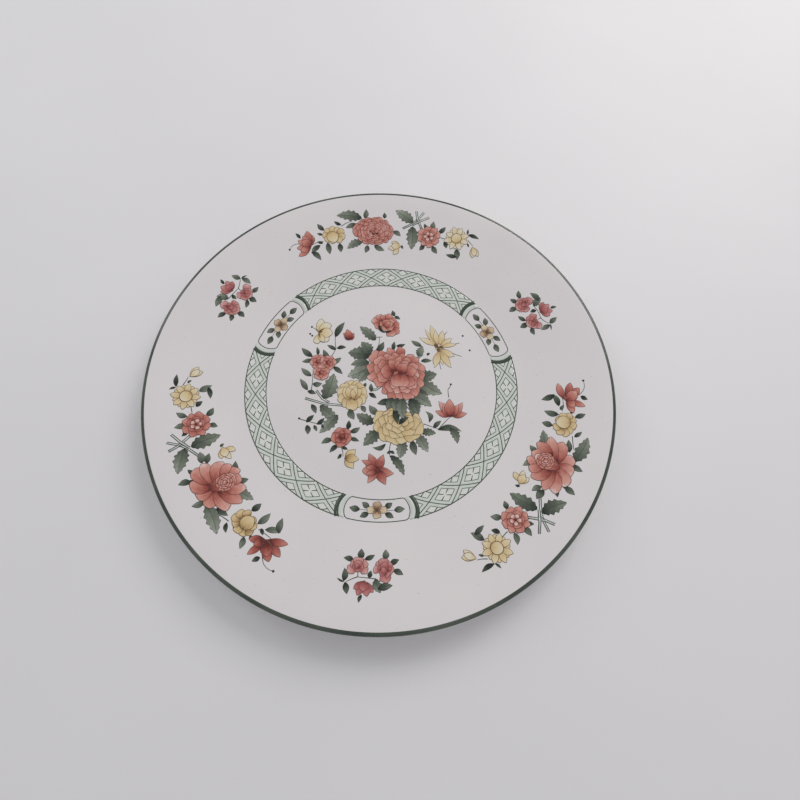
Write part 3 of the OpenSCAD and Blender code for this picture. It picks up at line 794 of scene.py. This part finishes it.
SPRIG_LEAVES = [
    (-2.8, 114.2, -3.4, 118, 1.9), (0.4, 106.8, 1.8, 113.2, 4.4), (1, 111.4, 4.9, 110, 3.6),
    (-7.4, 109.4, -6.4, 114.8, 3.2), (-7.8, 109.2, -8.3, 103, 3.2), (-7.6, 109.4, -9.7, 108.2, 1),
    (5.2, 103, 7.9, 105.6, 3), (4.4, 100.2, 7.2, 98.2, 2.9), (3, 97.8, 3.3, 92.8, 3.5),
    (-3, 97.8, 0, 95.4, 2.6), (-4, 98, -4.3, 92.8, 3.6), (-6, 99, -9.2, 98.4, 2.8),
    (-1.3, 106.6, -0.9, 102.9, 2.5)
]
SPRIG_STEMS = [
    (0.6, 106.8, -4.4, 106.4), (-4.4, 106.4, -7.2, 109.3), (-4.3, 106.2, -4.4, 103.5)
]
# How far each sprig is turned and moved outward from its even place.
SPRIG_TURNS = (-0.5, 1.9, 0)
SPRIG_MOVES = (-1.6, 0.3, 0)

# Petals as (angle, radius) at the base, the same at the tip, and width in mm.
SPRIG_PETALS = [
    (3, 103, 3, 108.7, 5.6), (3, 102, 5.4, 103.2, 5.4), (3.2, 102, 4.3, 98.4, 4.8),
    (2, 102.4, -0.1, 101, 5.8), (2.2, 101, 0.9, 98.2, 4.2), (2.8, 102, 2.6, 97, 5.2),
    (-4, 101.5, -1.8, 103.9, 4.6), (-4, 101, -2, 99.2, 4.6), (-5, 101.6, -7.5, 104.2, 4.8),
    (-5, 101, -6.9, 99.8, 4.4), (-4.6, 101, -4.9, 97, 5.4)
]
SPRIG_HEARTS = [
    (3, 104, 4.2, 105.4, 4), (2.8, 103, 1.6, 105, 3.6), (3.4, 103.4, 4.4, 101.2, 3.4),
    (2.4, 102.4, 1.2, 100.6, 3.6), (2.8, 104, 2.6, 98.8, 4.6), (3.3, 104.8, 2.2, 101.4, 3),
    (-4.6, 101, -3, 101.6, 3.8), (-4.8, 101.4, -6.2, 102, 3.6), (-4.6, 101.4, -4.4, 104.2, 3.8),
    (-4.4, 102.6, -4.9, 98.6, 4.6), (-4.2, 101.8, -5.4, 100.8, 2.8)
]
SPRIG_BLOOM = [
    (-2.4, 108, 0, 113, 3.4), (-2.4, 108, -1.5, 115, 4.2), (-2.7, 108, -3.9, 114.8, 4),
    (-2.7, 108, -5, 112, 3.4), (-2.5, 107.6, -2.7, 112.8, 5)
]


def sprig_place(k):
    centre = CARTOUCHE + third(k) + SPRIG_TURNS[k - 1]
    out = polar(centre, SPRIG_MOVES[k - 1])
    return lambda p: polar(centre + p[0], p[1]) + out


def sprig_roses(k):
    pen = Enamel(900 + k)
    petals(pen, RUFFLED, SPRIG_PETALS, sprig_place(k), 0.54)
    petals(pen, RUFFLED, SPRIG_HEARTS, sprig_place(k), 0.3)
    petals(pen, LOTUS, SPRIG_BLOOM, sprig_place(k), 0.34)
    return pen


def sprig_leaves(k):
    pen = Enamel(1000 + k, LEAF_LAYER, LEAF_STEP)
    draw_leaves(pen, SPRIG_LEAVES, SPRIG_STEMS, (), sprig_place(k))
    return pen


# ---- Bouquet in the well ----

BOUQUET_LEAVES = [
    # beside and below the peony
    (-8, 18, -21, 19.5, 9), (-8, 18.5, -13.5, 27, 7), (-7, 11.5, -20.5, 4, 9), (-8, 8, -13.5, 1, 6),
    (-8, 13.5, -19, 11.5, 5), (22, 4.5, 32, 7.5, 7), (22, 2.5, 35, -5, 8), (18.5, -3.5, 27, -6.5, 4),
    (17, -6.5, 29, -13, 7), (4.5, -9.5, -2.5, -12.5, 4),
    # around the large yellow rose
    (-1.5, -19, -7, -13.5, 4.2), (-3.5, -24, -14, -19, 6.5), (0, -28.5, -9, -37.5, 7),
    (3.4, -36, -4, -38.3, 2.8, 0.22), (13.5, -34, 11.5, -44, 6), (18, -33.5, 20.5, -42, 4.2),
    (20.5, -30, 27, -40, 6), (23, -28.5, 31.5, -29, 4.5),
    # around the small yellow rose
    (-33, -10.5, -28.5, 5.5, 8.5), (-18, -16, -15, -22.5, 4.2), (-10.5, -2.5, -9.5, 0.5, 1.9),
    (-6, -5, -6.5, 0, 2.6), (-7.5, -6, -3, -9, 2.6), (-11.5, -14, -9, -18, 3),
    # above the peony
    (-5, 28.5, -15, 37.5, 6), (-4, 20.5, 0, 27.5, 3.8), (6, 22, 6.5, 28, 2.6), (7.5, 25, 13, 26.5, 2.4),
    (6, 45.5, 4.5, 49.5, 2.6), (6, 45.5, 9.5, 43.5, 2.2), (21, 18.5, 23.5, 25.5, 4.5),
    (23, 25.5, 16.5, 29, 3), (26, 19.5, 28, 21, 1.6), (22.5, 15.5, 29, 16, 2.7),
    # right and bottom
    (27.6, -22.8, 25.4, -16.2, 3, -0.3), (30, -26, 34.5, -21.5, 2.8), (32.5, -27, 46, -27.4, 3.8, 0.13),
    (39.5, -25.4, 43.6, -34.6, 4.6, 0.12), (6.3, -42.6, 14, -53.5, 4.6, 0.08), (6.5, -40, 4, -41.5, 1.8),
    (6.5, -40, 8.5, -41.5, 1.8),
    # around the small pink flower
    (-18.5, -28.5, -18, -23, 2.9), (-17, -30, -11.5, -27, 3), (-17, -33.5, -11.5, -35, 2.4),
    (-26.5, -34.5, -32.5, -37, 3.2), (-23, -37.5, -27.5, -42, 2.8), (-21, -39, -17.5, -40, 1.8),
    (-21, -42.5, -23, -45.5, 1.8), (-35, -14.5, -24, -23, 6), (-24.5, -20, -34, -31, 6),
    # left-hand sprigs
    (-40, -14, -37, -19.5, 3), (-43, -5.5, -48, 1.5, 3.2), (-41.5, 3.5, -48, 8.5, 3.2),
    (-40.5, -1.5, -35, -1, 3.2), (-43, -6, -38, -7.5, 2.6), (-42, 16, -49, 21.5, 3.6),
    (-41.5, 14, -48, 12.5, 2.8), (-39, 17, -40, 22.5, 2), (-32, 15, -36, 21, 3.2),
    (-29.5, 12, -25, 16, 3), (-29.5, 10, -23.5, 5.5, 3), (-28.5, 21, -34, 24, 2.4),
    (-28, 22, -22.5, 23, 2.6), (-29.5, 29.5, -24.5, 40, 4), (-42, -25, -38, -20.5, 2.8),
    (-36, -26, -32, -22, 2.6), (-41.5, -26.5, -40.5, -32, 3.2), (-37.5, -26.5, -35.5, -30, 2),
    (-33, -26, -32, -28.5, 1.6)
]
BOUQUET_STEMS = [
    (-41, -6, -41, 5), (-31.5, 15.5, -28.5, 22), (-28.5, 22, -29.5, 30), (-4.5, 22, -3, 31),
    (-46, -23, -29, -26.5), (6.2, -35.5, 6.2, -44), (24.5, -23.8, 33, -26.5), (33, -26.5, 40, -18.5),
    (39, -7, 38.6, -2), (38.6, -2, 40.2, 1), (34, 26, 38.5, 36), (35, 26, 46, 28.5), (35, 25, 47, 19.5),
    (34, 23, 34.6, 10.5), (35, 24, 40, 19), (-40.5, 33, -43.5, 35.5), (-21.5, -38.5, -20, -44),
    (-5, 30.5, -1, 30.8)
]
BOUQUET_BRANCHES = [
    ((-44, -10.5), (-33, -13.5), (-21.5, -14.2)), ((-38, -5.5), (-34, -10.5), (-30, -12.6)),
    ((-7, -4.5), (-3, -3.5), (1, 0)), ((20.5, 17.5), (23.5, 20))
]
BOUQUET_DOTS = [
    (48, 33.5), (52, 23.8), (40.3, 1.2), (-44.2, 36), (-44.8, 31.2), (-43.5, 30), (-46.2, -22.8)
]
# Leaves that hang over the yellow pair, with the dark ones between its two roses.
DARK_LEAVES = [(9.4, -13, 9.8, -24.6, 4.3), (10.4, -24.6, 16, -20, 3, 0.1)]
HANGING_LEAVES = [
    (6.5, -8.5, 3.4, -15.8, 5.4), (9.5, -8.5, 8.2, -17, 5.4), (16.5, -8.5, 18, -19.4, 5),
    (17, -8.5, 21.5, -18, 6), (12.6, -8.5, 13, -21.2, 6.4)
]
ROSE_SHADOW = [(-3.6, 39, 0.4, 33.6, 2, -0.12), (0, 34.4, 4.6, 35.4, 1.4, -0.1)]
OVER_LAYER = 120

# Petals as petals() takes them.
PEONY = [
    (6, 15, 3, 23.4, 5.6), (10, 16, 10, 24.4, 5.6), (15, 13, 16.8, 20, 5.6), (14, 11, 21, 17, 7),
    (1, 13, -7.4, 19.6, 9), (2, 14, -2.4, 21, 6.6), (1, 10, -9.6, 9.4, 8.4), (2, 7, -8.6, 3.2, 7.6),
    (3, 6, -4.4, -0.6, 7), (15, 9, 24.8, 11.4, 8.8), (15, 6, 25, 5, 8.2), (15, 4, 24, -0.6, 7.6),
    (8, 2, 1, -6, 8), (9, 1, 5.4, -10.2, 8.8), (11, 0, 11.4, -9.6, 8.8), (13, 1, 16, -9.8, 8),
    (14, 3, 21, -6.4, 7.6), (4, 12, 2, 19.6, 6), (8, 12, 7, 20.4, 6), (11, 12, 11.4, 20, 5.6),
    (13, 12, 15, 17.4, 5), (14, 7.6, 3, 7.2, 9), (3, 11, -4.8, 16, 7.6), (3, 10, -5.6, 9, 7),
    (13, 8, 20.6, 13.2, 6.6), (13, 6, 21.6, 7.4, 7), (13, 5, 20.6, 2, 7), (5, 8, -2.6, 2.4, 7.6),
    (8, 4, 3.6, -4.8, 7), (10, 3, 9, -5.8, 7.6), (12, 3, 14.6, -5.4, 7.6), (14, 4, 19, -2.4, 6.6),
    (6, 12, 4.6, 18.4, 4.6), (9, 11, 9.4, 18, 4.6), (5, 11, -2.8, 13, 7), (7, 8, -1, 7.4, 9.4),
    (8, 8, 4.4, 15.6, 5), (10, 8, 8.4, 15, 4), (12, 8, 13.4, 15.6, 5), (12, 7, 19.6, 9.6, 7.6),
    (9, 5, 6.8, -2.8, 6.6), (12, 5, 12.6, -3.4, 6.6), (12, 6, 17.8, -0.8, 7.4),
    (10.4, 7.4, 10.4, -1.8, 11.4), (10, 6.6, 12.4, 13.8, 6.6)
]
TOP_ROSE = [
    (-2, 41, -7.8, 42.5, 5.5), (-2, 40, -6, 37.5, 5), (-2, 42, -4.5, 46, 4.5), (0, 42, -1, 46, 5),
    (1.5, 42, 3, 47, 5), (3, 41, 7, 43.5, 4.5), (4, 39, 9.2, 38.5, 6), (4, 37, 9, 34, 6),
    (3, 36.5, 5, 31.5, 6.5), (2, 40, 5.5, 42.5, 4), (1, 42, -2.2, 38, 5), (1, 41, 0.5, 34.5, 5.5),
    (2, 40, 4.4, 35.5, 5), (1, 40, 5, 39.5, 4), (0.5, 37.5, 1.2, 43.2, 4.4), (1, 36.5, 2.6, 41.5, 3.6)
]
WATER_LILY = [
    (40, -18.4, 31, -15.6, 4), (40.4, -18.4, 49.4, -16.6, 4.2), (39.8, -18.6, 33, -9.6, 4.8),
    (40.6, -18.6, 47, -9.8, 4.6), (40.6, -18.8, 44.2, -11.4, 4.6), (39.6, -18.8, 35.8, -11, 5.2),
    (40.2, -19.2, 39.4, -7.8, 6.6)
]
LOW_BLOOM = [
    (-2, -51, -5.8, -41.8, 5), (-1, -51.5, 2.3, -42.2, 5), (-2, -50, -9.6, -45.8, 3.6),
    (-2, -51, 8.4, -52.7, 5.6), (-1.5, -50.5, 4.1, -59, 5.4), (-1, -50.5, -5.7, -58.4, 4.4)
]
LOW_CUP = [(0, -51, -8.8, -51.8, 6.8), (0, -50, -6.8, -50, 3.6), (-0.4, -51.4, -6.4, -53, 3.2)]
ROSE_PAIR = [
    (7, -21, 2.6, -16.2, 8), (6, -22, -4.2, -21, 9), (7, -24, -3.8, -27, 9), (8, -25, 1, -34, 11),
    (9, -25, 7.4, -36.2, 10), (12, -24, 13.6, -35.6, 11), (13, -24, 20.4, -33.2, 10),
    (14, -24, 24.6, -27.4, 10), (14, -23, 22.8, -20, 8), (14, -22, 17.6, -17.8, 6),
    (8, -21, 1.2, -18.4, 7), (8, -22, -1, -24, 9), (9, -23, 2.4, -30.6, 9.4), (10, -24, 8, -33, 8.4),
    (12, -23, 12.6, -31.8, 9.4), (12, -23, 18.8, -29.8, 9.4), (13, -22, 22, -24.2, 8),
    (9, -21, 2, -22, 7.6), (10, -22, 4.4, -28, 7.8), (10, -22, 9, -29.8, 6.4),
    (11.5, -22, 13.4, -28.2, 7.4), (12, -22, 18.6, -25.4, 7.4), (12.5, -21.5, 18.6, -20.8, 5),
    (9, -19.5, 4, -18.6, 5), (9.5, -20, 4.4, -23.2, 6), (10, -21, 8.4, -26.4, 5.6),
    (11.5, -22, 15.4, -24.6, 5)
]
YELLOW_ROSE = [
    (-17, -6, -19.5, 1.5, 7), (-16, -6, -15, 1.5, 6), (-15, -6, -11.5, -0.5, 6), (-19, -6, -23.5, -1, 6),
    (-19, -7, -26, -6, 7.5), (-14, -7, -8.5, -6, 8), (-15, -8, -9.5, -12, 7), (-19, -8, -24.5, -12, 7),
    (-16, -8, -13, -15, 7), (-18, -8, -20.5, -15.5, 7), (-17, -8, -17, -17, 7), (-18, -11, -21.5, -3, 5),
    (-16, -11, -12.5, -3.5, 5), (-17, -10, -16.5, -1, 6), (-18, -10, -19.5, -3, 4.2),
    (-16, -10, -15.3, -2.6, 3.8), (-16, -10.5, -17.4, -4.5, 3.4)
]
LILY_PETALS = [
    (33.6, 21.6, 33, 28, 4), (33, 26, 21.4, 31.4, 3.6), (33, 26, 24.6, 37.4, 2.4),
    (33.5, 26, 35.6, 36.8, 4), (34, 26, 41.4, 31.4, 3.8), (34, 25, 44.2, 27.4, 3),
    (34, 24, 43, 19.2, 4.4), (33.5, 23, 35.8, 13.6, 3.2), (33, 23, 30.6, 11.6, 4.6),
    (34, 24, 41, 11.6, 4.6), (33, 26, 28.4, 40, 4.6), (33, 26, 31.4, 36.6, 3.6)
]
LILY_HEART = [(33.4, 24.2, 30.6, 27.6, 2.4), (33, 25.4, 33.2, 21.8, 2), (32.6, 24.6, 36, 25.6, 1.8)]
SIDE_LILY = [
    (-40, 32.5, -38.6, 41.6, 5.2), (-40, 32.5, -33, 38.6, 6), (-40, 31.5, -33.4, 27, 6.4),
    (-40, 31, -40.4, 24.6, 4.2), (-40, 32, -31.4, 32.6, 6.8), (-39.5, 31.5, -36, 26.4, 4)
]
SIDE_LILY_HEART = [(-40.4, 32.6, -36.6, 35, 1), (-40, 33, -38.6, 28, 0.9), (-40, 31.6, -37.4, 33.4, 1.4)]
LOW_BUD = [
    (-18.8, -44.6, -13.2, -39.8, 5), (-18.8, -45.4, -13.8, -50.6, 5), (-19.2, -45, -11, -45.4, 5.2)
]
CORAL_BUD = [
    (-20.6, 28.2, -24.8, 32.6, 3.6), (-20.6, 28.2, -18.4, 32.8, 3.2), (-20.8, 27.8, -22.7, 35.2, 5.4)
]


def bouquet_coral():
    pen = Enamel(1100)
    petals(pen, RUFFLED, TOP_ROSE, tone=0.48)
    petals(pen, LEAF, WATER_LILY, tone=0.54)
    petals(pen, LEAF, LOW_BLOOM, tone=0.4)
    petals(pen, CUP, LOW_CUP, tone=0.4)
    rosette(pen, (-21.6, -33), 5.8, 50, 5, 0.3)
    for centre in ((-38.6, 12.8), (-32.6, 12.4), (-36.2, 5.8)):
        rosette(pen, centre, 4.9, pen.vary(60), 5, 0.52)
    petals(pen, BUD, CORAL_BUD, tone=0.42)
    pen.layer = FLOWER_LAYER
    petals(pen, RUFFLED, PEONY[:20], tone=0.4)
    petals(pen, RUFFLED, PEONY[20:], tone=0.46)
    return pen


def bouquet_yellow():
    pen = Enamel(1200)
    petals(pen, LILY, LILY_PETALS, tone=0.72)
    petals(pen, LOTUS, LILY_HEART, tone=-0.4)
    petals(pen, PETAL, SIDE_LILY, tone=0.8)
    petals(pen, LOTUS, SIDE_LILY_HEART, tone=-0.2)
    petals(pen, LEAF, LOW_BUD, tone=0.5)
    petals(pen, RUFFLED, YELLOW_ROSE, tone=0.5)
    pen.layer = FLOWER_LAYER
    petals(pen, RUFFLED, ROSE_PAIR, tone=0.37)
    return pen


def bouquet_leaves():
    pen = Enamel(1300, LEAF_LAYER, LEAF_STEP)
    draw_leaves(pen, BOUQUET_LEAVES, BOUQUET_STEMS, BOUQUET_BRANCHES)
    for place in BOUQUET_DOTS:
        pen.dot(place, 1.2)
    pen.layer = OVER_LAYER
    draw_leaves(pen, DARK_LEAVES + ROSE_SHADOW, darker=0.5)
    draw_leaves(pen, HANGING_LEAVES, darker=0.1)
    return pen


# ---- Materials ----


GLOSS = 0.07
IOR = 1.52


class Surface:
    """A node material in the making. Its methods add nodes and return their sockets."""

    def __init__(self, name):
        self.material = bpy.data.materials.new(name)
        self.material.use_nodes = True
        self.tree = self.material.node_tree
        self.inputs = self.tree.nodes["Principled BSDF"].inputs

    def feed(self, socket, value):
        """Links a socket to another one, or sets it."""
        if isinstance(value, bpy.types.NodeSocket):
            self.tree.links.new(value, socket)
        else:
            socket.default_value = value

    def add(self, kind, inputs=None, **settings):
        made = self.tree.nodes.new("ShaderNode" + kind)
        for key, value in settings.items():
            setattr(made, key, value)
        for key, value in (inputs or {}).items():
            self.feed(made.inputs[key], value)
        return made

    def maths(self, operation, a, b=0.0, c=0.0):
        return self.add("Math", {0: a, 1: b, 2: c}, operation=operation).outputs[0]

    def stir(self, value, fleck, share):
        """A value raised and lowered by a share of a noise."""
        return self.maths("MULTIPLY_ADD", self.maths("SUBTRACT", fleck, 0.5), share, value)

    def attribute(self, name):
        found = self.add("Attribute", attribute_name=name)
        return self.add("SeparateXYZ", {0: found.outputs["Vector"]}).outputs

    def noise(self, scale, detail=2.0, vector=None):
        vector = vector or self.add("TexCoord").outputs["Object"]
        made = self.add("TexNoise", {"Vector": vector, "Scale": scale, "Detail": detail})
        return made.outputs["Fac"]

    def stretch(self, value, low, high):
        """A value from 0 to 1 as one from low to high."""
        made = self.add("MapRange", {"Value": value, "To Min": low, "To Max": high})
        return made.outputs["Result"]

    def smooth(self, value, low, high):
        """A smooth step from 0 at low to 1 at high."""
        made = self.add("MapRange", {"Value": value, "From Min": low, "From Max": high},
                        interpolation_type="SMOOTHSTEP")
        return made.outputs["Result"]

    def ramp(self, value, *stops):
        made = self.add("ValToRGB", {"Fac": value})
        elements = made.color_ramp.elements
        while len(elements) < len(stops):
            elements.new(1)
        for element, (position, colour) in zip(elements, stops):
            element.position = position
            element.color = (*colour, 1)
        return made.outputs["Color"]

    def mix(self, share, a, b):
        made = self.add("Mix", {"Factor": share}, data_type="RGBA")
        for key, value in (("A", a), ("B", b)):
            socket = [s for s in made.inputs if s.name == key and s.type == "RGBA"][0]
            self.feed(socket, (*value, 1) if isinstance(value, tuple) else value)
        return [s for s in made.outputs if s.type == "RGBA"][0]

    def finish(self, colour, roughness, height=None, depth=0.0, ior=IOR):
        """Wires the shader, with a bump of a depth in millimetres if there is a height."""
        self.feed(self.inputs["Base Color"], colour)
        self.feed(self.inputs["Roughness"], roughness)
        self.inputs["IOR"].default_value = ior
        if height:
            bump = self.add("Bump", {"Height": height, "Distance": depth * MM, "Strength": 1.0})
            self.feed(self.inputs["Normal"], bump.outputs["Normal"])
        return self.material


def glaze_material():
    """White porcelain under a clear glaze: faint clouding, specks and a slow waviness."""
    s = Surface("glaze")
    cloud = s.ramp(s.noise(22, 3), (0.3, (0.82, 0.785, 0.785)), (0.7, (0.85, 0.815, 0.81)))
    colour = s.mix(s.smooth(s.noise(900, 1), 0.74, 0.8), cloud, (0.62, 0.58, 0.53))
    return s.finish(colour, s.stretch(s.noise(60, 4), 0.04, 0.1), s.noise(70, 1), 0.02)


def porcelain_material():
    """Bare fired porcelain of the foot: matt, gritty and a little worn."""
    s = Surface("porcelain")
    grit = s.noise(2600, 4)
    wear = s.ramp(s.noise(160, 3), (0.35, (0.62, 0.58, 0.52)), (0.65, (0.76, 0.73, 0.68)))
    colour = s.mix(s.smooth(grit, 0.58, 0.7), wear, (0.5, 0.45, 0.4))
    return s.finish(colour, 0.7, grit, 0.05, ior=1.5)


def printed(name, stops, ink, fade=1.15, veins=0.0, streaks=0.0):
    """Fired enamel: a wash that fades from base to tip of each shape, under an inked outline."""
    s = Surface(name)
    along, across, edge = s.attribute("shape")
    light, deep, veined = s.attribute("tone")
    grain = s.noise(2200, 2)
    grown = s.maths("POWER", along, 0.7)
    lit = s.maths("MULTIPLY_ADD", grown, fade, s.maths("SUBTRACT", light, 0.6 * fade))
    lit = s.maths("MULTIPLY_ADD", deep, -0.5, lit)
    lit = s.stir(lit, s.noise(420, 2), 0.4)
    if streaks:
        fan = s.add("CombineXYZ", {0: s.maths("MULTIPLY", across, 7.0), 1: along, 2: light})
        lit = s.stir(lit, s.noise(1.6, 2, fan.outputs[0]), streaks)
    colour = s.ramp(lit, *stops)
    if veins:
        off_rib = s.maths("ABSOLUTE", across)
        rib = s.smooth(off_rib, 0.09, 0.03)
        slant = s.maths("MULTIPLY_ADD", along, 7.0, s.maths("MULTIPLY", off_rib, -1.7))
        vein = s.smooth(s.maths("PINGPONG", slant, 0.5), 0.42, 0.5)
        line = s.maths("MAXIMUM", rib, s.maths("MULTIPLY", vein, 0.6))
        shaded_half = s.smooth(across, -0.1, 0.1)
        colour = s.mix(s.maths("MULTIPLY", shaded_half, 0.25), colour, ink)
        drawn = s.maths("MULTIPLY", s.maths("MULTIPLY", line, veins), veined)
        colour = s.mix(drawn, colour, ink)
    colour = s.mix(s.smooth(s.stir(edge, grain, 0.5), 0.2, 0.7), colour, ink)
    return s.finish(colour, s.stretch(grain, GLOSS, GLOSS + 0.08), grain, 0.003)


def lattice_material():
    """Green line work, from a pale tint to full strength, broken a little as print is."""
    s = Surface("lattice_green")
    grain = s.noise(1500, 3)
    inked = s.stir(s.attribute("tone")[0], grain, 0.35)
    colour = s.ramp(inked, (0, (0.72, 0.76, 0.70)), (0.4, (0.24, 0.29, 0.235)),
                    (0.9, (0.055, 0.08, 0.055)))
    return s.finish(colour, GLOSS + 0.02, grain, 0.003)


def tint_material():
    """Pale wash: green ribbons under the main lines and almost white inside each diamond."""
    s = Surface("tint_green")
    u, v, _ = s.attribute("shape")
    within = []
    for sign in (0.5, -0.5):
        offset = s.maths("PINGPONG", s.maths("MULTIPLY_ADD", v, sign, u), 0.5)
        within.append(s.smooth(offset, INNER_SCALE / 2 + 0.03, INNER_SCALE / 2 - 0.03))
    wash = s.noise(500, 3)
    ribbon = s.ramp(wash, (0.3, (0.66, 0.72, 0.64)), (0.7, (0.75, 0.79, 0.73)))
    cell = s.ramp(wash, (0.3, (0.77, 0.795, 0.745)), (0.7, (0.83, 0.84, 0.79)))
    colour = s.mix(s.maths("MULTIPLY", *within), ribbon, cell)
    return s.finish(colour, GLOSS + 0.01, wash, 0.003)


def edge_material():
    """Grey-green line round the edge, painted by hand, so its strength drifts."""
    s = Surface("edge_green")
    grain = s.noise(1400, 3)
    inked = s.stir(s.noise(45, 3), grain, 0.5)
    colour = s.ramp(inked, (0.3, (0.035, 0.05, 0.038)), (0.7, (0.095, 0.115, 0.09)))
    return s.finish(colour, GLOSS + 0.03, grain, 0.01)


CORAL_STOPS = ((0, (0.13, 0.022, 0.016)), (0.15, (0.30, 0.06, 0.045)), (0.4, (0.48, 0.15, 0.115)),
               (0.65, (0.63, 0.26, 0.205)), (0.9, (0.74, 0.39, 0.33)), (1, (0.80, 0.60, 0.54)))
PINK_STOPS = ((0, (0.16, 0.03, 0.032)), (0.15, (0.34, 0.08, 0.08)), (0.4, (0.5, 0.165, 0.155)),
              (0.65, (0.62, 0.27, 0.25)), (0.9, (0.7, 0.42, 0.39)), (1, (0.76, 0.58, 0.54)))
YELLOW_STOPS = ((0, (0.16, 0.095, 0.035)), (0.15, (0.42, 0.27, 0.115)), (0.4, (0.68, 0.50, 0.25)),
                (0.65, (0.78, 0.62, 0.36)), (0.9, (0.81, 0.70, 0.46)), (1, (0.82, 0.76, 0.60)))
LEAF_STOPS = ((0, (0.014, 0.021, 0.014)), (0.2, (0.058, 0.077, 0.054)), (0.45, (0.15, 0.178, 0.132)),
              (0.7, (0.25, 0.28, 0.218)), (0.92, (0.37, 0.40, 0.33)), (1, (0.64, 0.69, 0.64)))
TAN_STOPS = ((0, (0.12, 0.065, 0.025)), (0.3, (0.42, 0.27, 0.17)), (0.6, (0.66, 0.50, 0.34)),
             (0.9, (0.78, 0.66, 0.47)))

GLAZE = glaze_material()
PORCELAIN = porcelain_material()
EDGE = edge_material()
LATTICE = lattice_material()
TINT = tint_material()
CORAL = printed("coral_enamel", CORAL_STOPS, (0.14, 0.035, 0.028), streaks=0.35)
PINK = printed("pink_enamel", PINK_STOPS, (0.2, 0.07, 0.06), 0.9, streaks=0.5)
YELLOW = printed("yellow_enamel", YELLOW_STOPS, (0.19, 0.12, 0.05), 0.95, streaks=0.35)
LEAF_GREEN = printed("leaf_green", LEAF_STOPS, (0.03, 0.04, 0.03), 0.8, veins=0.5)
TAN = printed("tan_enamel", TAN_STOPS, (0.22, 0.13, 0.07), 0.8, streaks=0.3)

# ---- Pieces ----

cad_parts["body"].data.materials.clear()
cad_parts["body"].data.materials.append(PORCELAIN)

finish_piece(glaze_coat(), GLAZE, "glaze", "glaze_coat")
finish_piece(base_glaze(), GLAZE, "glaze", "base_glaze")
finish_piece(edge_line(), EDGE, "edge_green", "edge_line")

REPEATED = [
    (trellis_tint, TINT, "tint_green"), (trellis_lines, LATTICE, "lattice_green"),
    (cartouche_frame, LATTICE, "lattice_green"), (cartouche_flower, TAN, "tan_enamel"),
    (cartouche_leaves, LEAF_GREEN, "leaf_green"), (spray_coral, CORAL, "coral_enamel"),
    (spray_yellow, YELLOW, "yellow_enamel"), (spray_leaves, LEAF_GREEN, "leaf_green"),
    (sprig_roses, PINK, "coral_enamel"), (sprig_leaves, LEAF_GREEN, "leaf_green"),
]
for draw, material, slot in REPEATED:
    for k in (1, 2, 3):
        node = f"{draw.__name__}_{k}"
        draw(k).piece(node + "_print", material, slot, node)
for draw, material, slot in ((bouquet_coral, CORAL, "coral_enamel"),
                             (bouquet_yellow, YELLOW, "yellow_enamel"),
                             (bouquet_leaves, LEAF_GREEN, "leaf_green")):
    draw().piece(draw.__name__ + "_print", material, slot, draw.__name__)

# ---- Floor, light and camera ----


FLOOR_HALF = 1.6


def floor():
    mesh = bpy.data.meshes.new("floor")
    corners = [(x * FLOOR_HALF, y * FLOOR_HALF, 0) for x, y in ((-1, -1), (1, -1), (1, 1), (-1, 1))]
    mesh.from_pydata(corners, [], [(0, 1, 2, 3)])
    s = Surface("floor")
    colour = s.ramp(s.noise(9, 2), (0.3, (0.87, 0.86, 0.865)), (0.7, (0.89, 0.88, 0.885)))
    mesh.materials.append(s.finish(colour, 0.6, ior=1.5))
    placed("floor", mesh)


def area_light(name, place, target, size, power, colour=(1, 1, 1)):
    """A rectangular light at a place in metres, facing a target."""
    data = bpy.data.lights.new(name, "AREA")
    data.shape = "RECTANGLE"
    data.size, data.size_y = size
    data.energy = power
    data.color = colour
    away = (Vector(place) - Vector(target)).to_track_quat("Z", "Y")
    placed(name, data).matrix_world = Matrix.Translation(place) @ away.to_matrix().to_4x4()


def studio():
    world = bpy.data.worlds.new("studio")
    bpy.context.scene.world = world
    world.use_nodes = True
    background = world.node_tree.nodes["Background"]
    background.inputs["Color"].default_value = (0.965, 0.965, 1, 1)
    background.inputs["Strength"].default_value = 0.45
    area_light("key", (0.6, 0.85, 0.9), (0.05, 0.05, 0), (0.7, 0.7), 6.8, (1, 0.975, 0.95))
    area_light("side", (-0.75, 0.6, 0.75), (0, 0, 0), (0.25, 0.6), 1.2, (0.96, 0.98, 1))


# The camera's seat is in plate radii from the middle of the rim, before its turn round the plate.
CAMERA_SEAT = Vector((0.084, -0.796, 1.862))
CAMERA_TILT = math.radians(69.5)
CAMERA_ROLL = math.radians(4.5)
CAMERA_TURN = math.radians(-2.8)
LENS = 21.4
SENSOR = 36


def camera():
    data = bpy.data.cameras.new("camera")
    data.lens = LENS
    data.sensor_width = SENSOR
    data.clip_start = 0.01
    seat = Matrix.Translation(CAMERA_SEAT * PLATE_R * MM + Vector((0, 0, PLATE_TOP * MM)))
    tilt = Matrix.Rotation(math.radians(90) - CAMERA_TILT, 4, "X")
    roll = Matrix.Rotation(CAMERA_ROLL, 4, "Z")
    view = placed("camera", data)
    view.matrix_world = Matrix.Rotation(CAMERA_TURN, 4, "Z") @ seat @ tilt @ roll
    bpy.context.scene.camera = view


floor()
studio()
camera()
bpy.context.scene.view_settings.view_transform = "Standard"
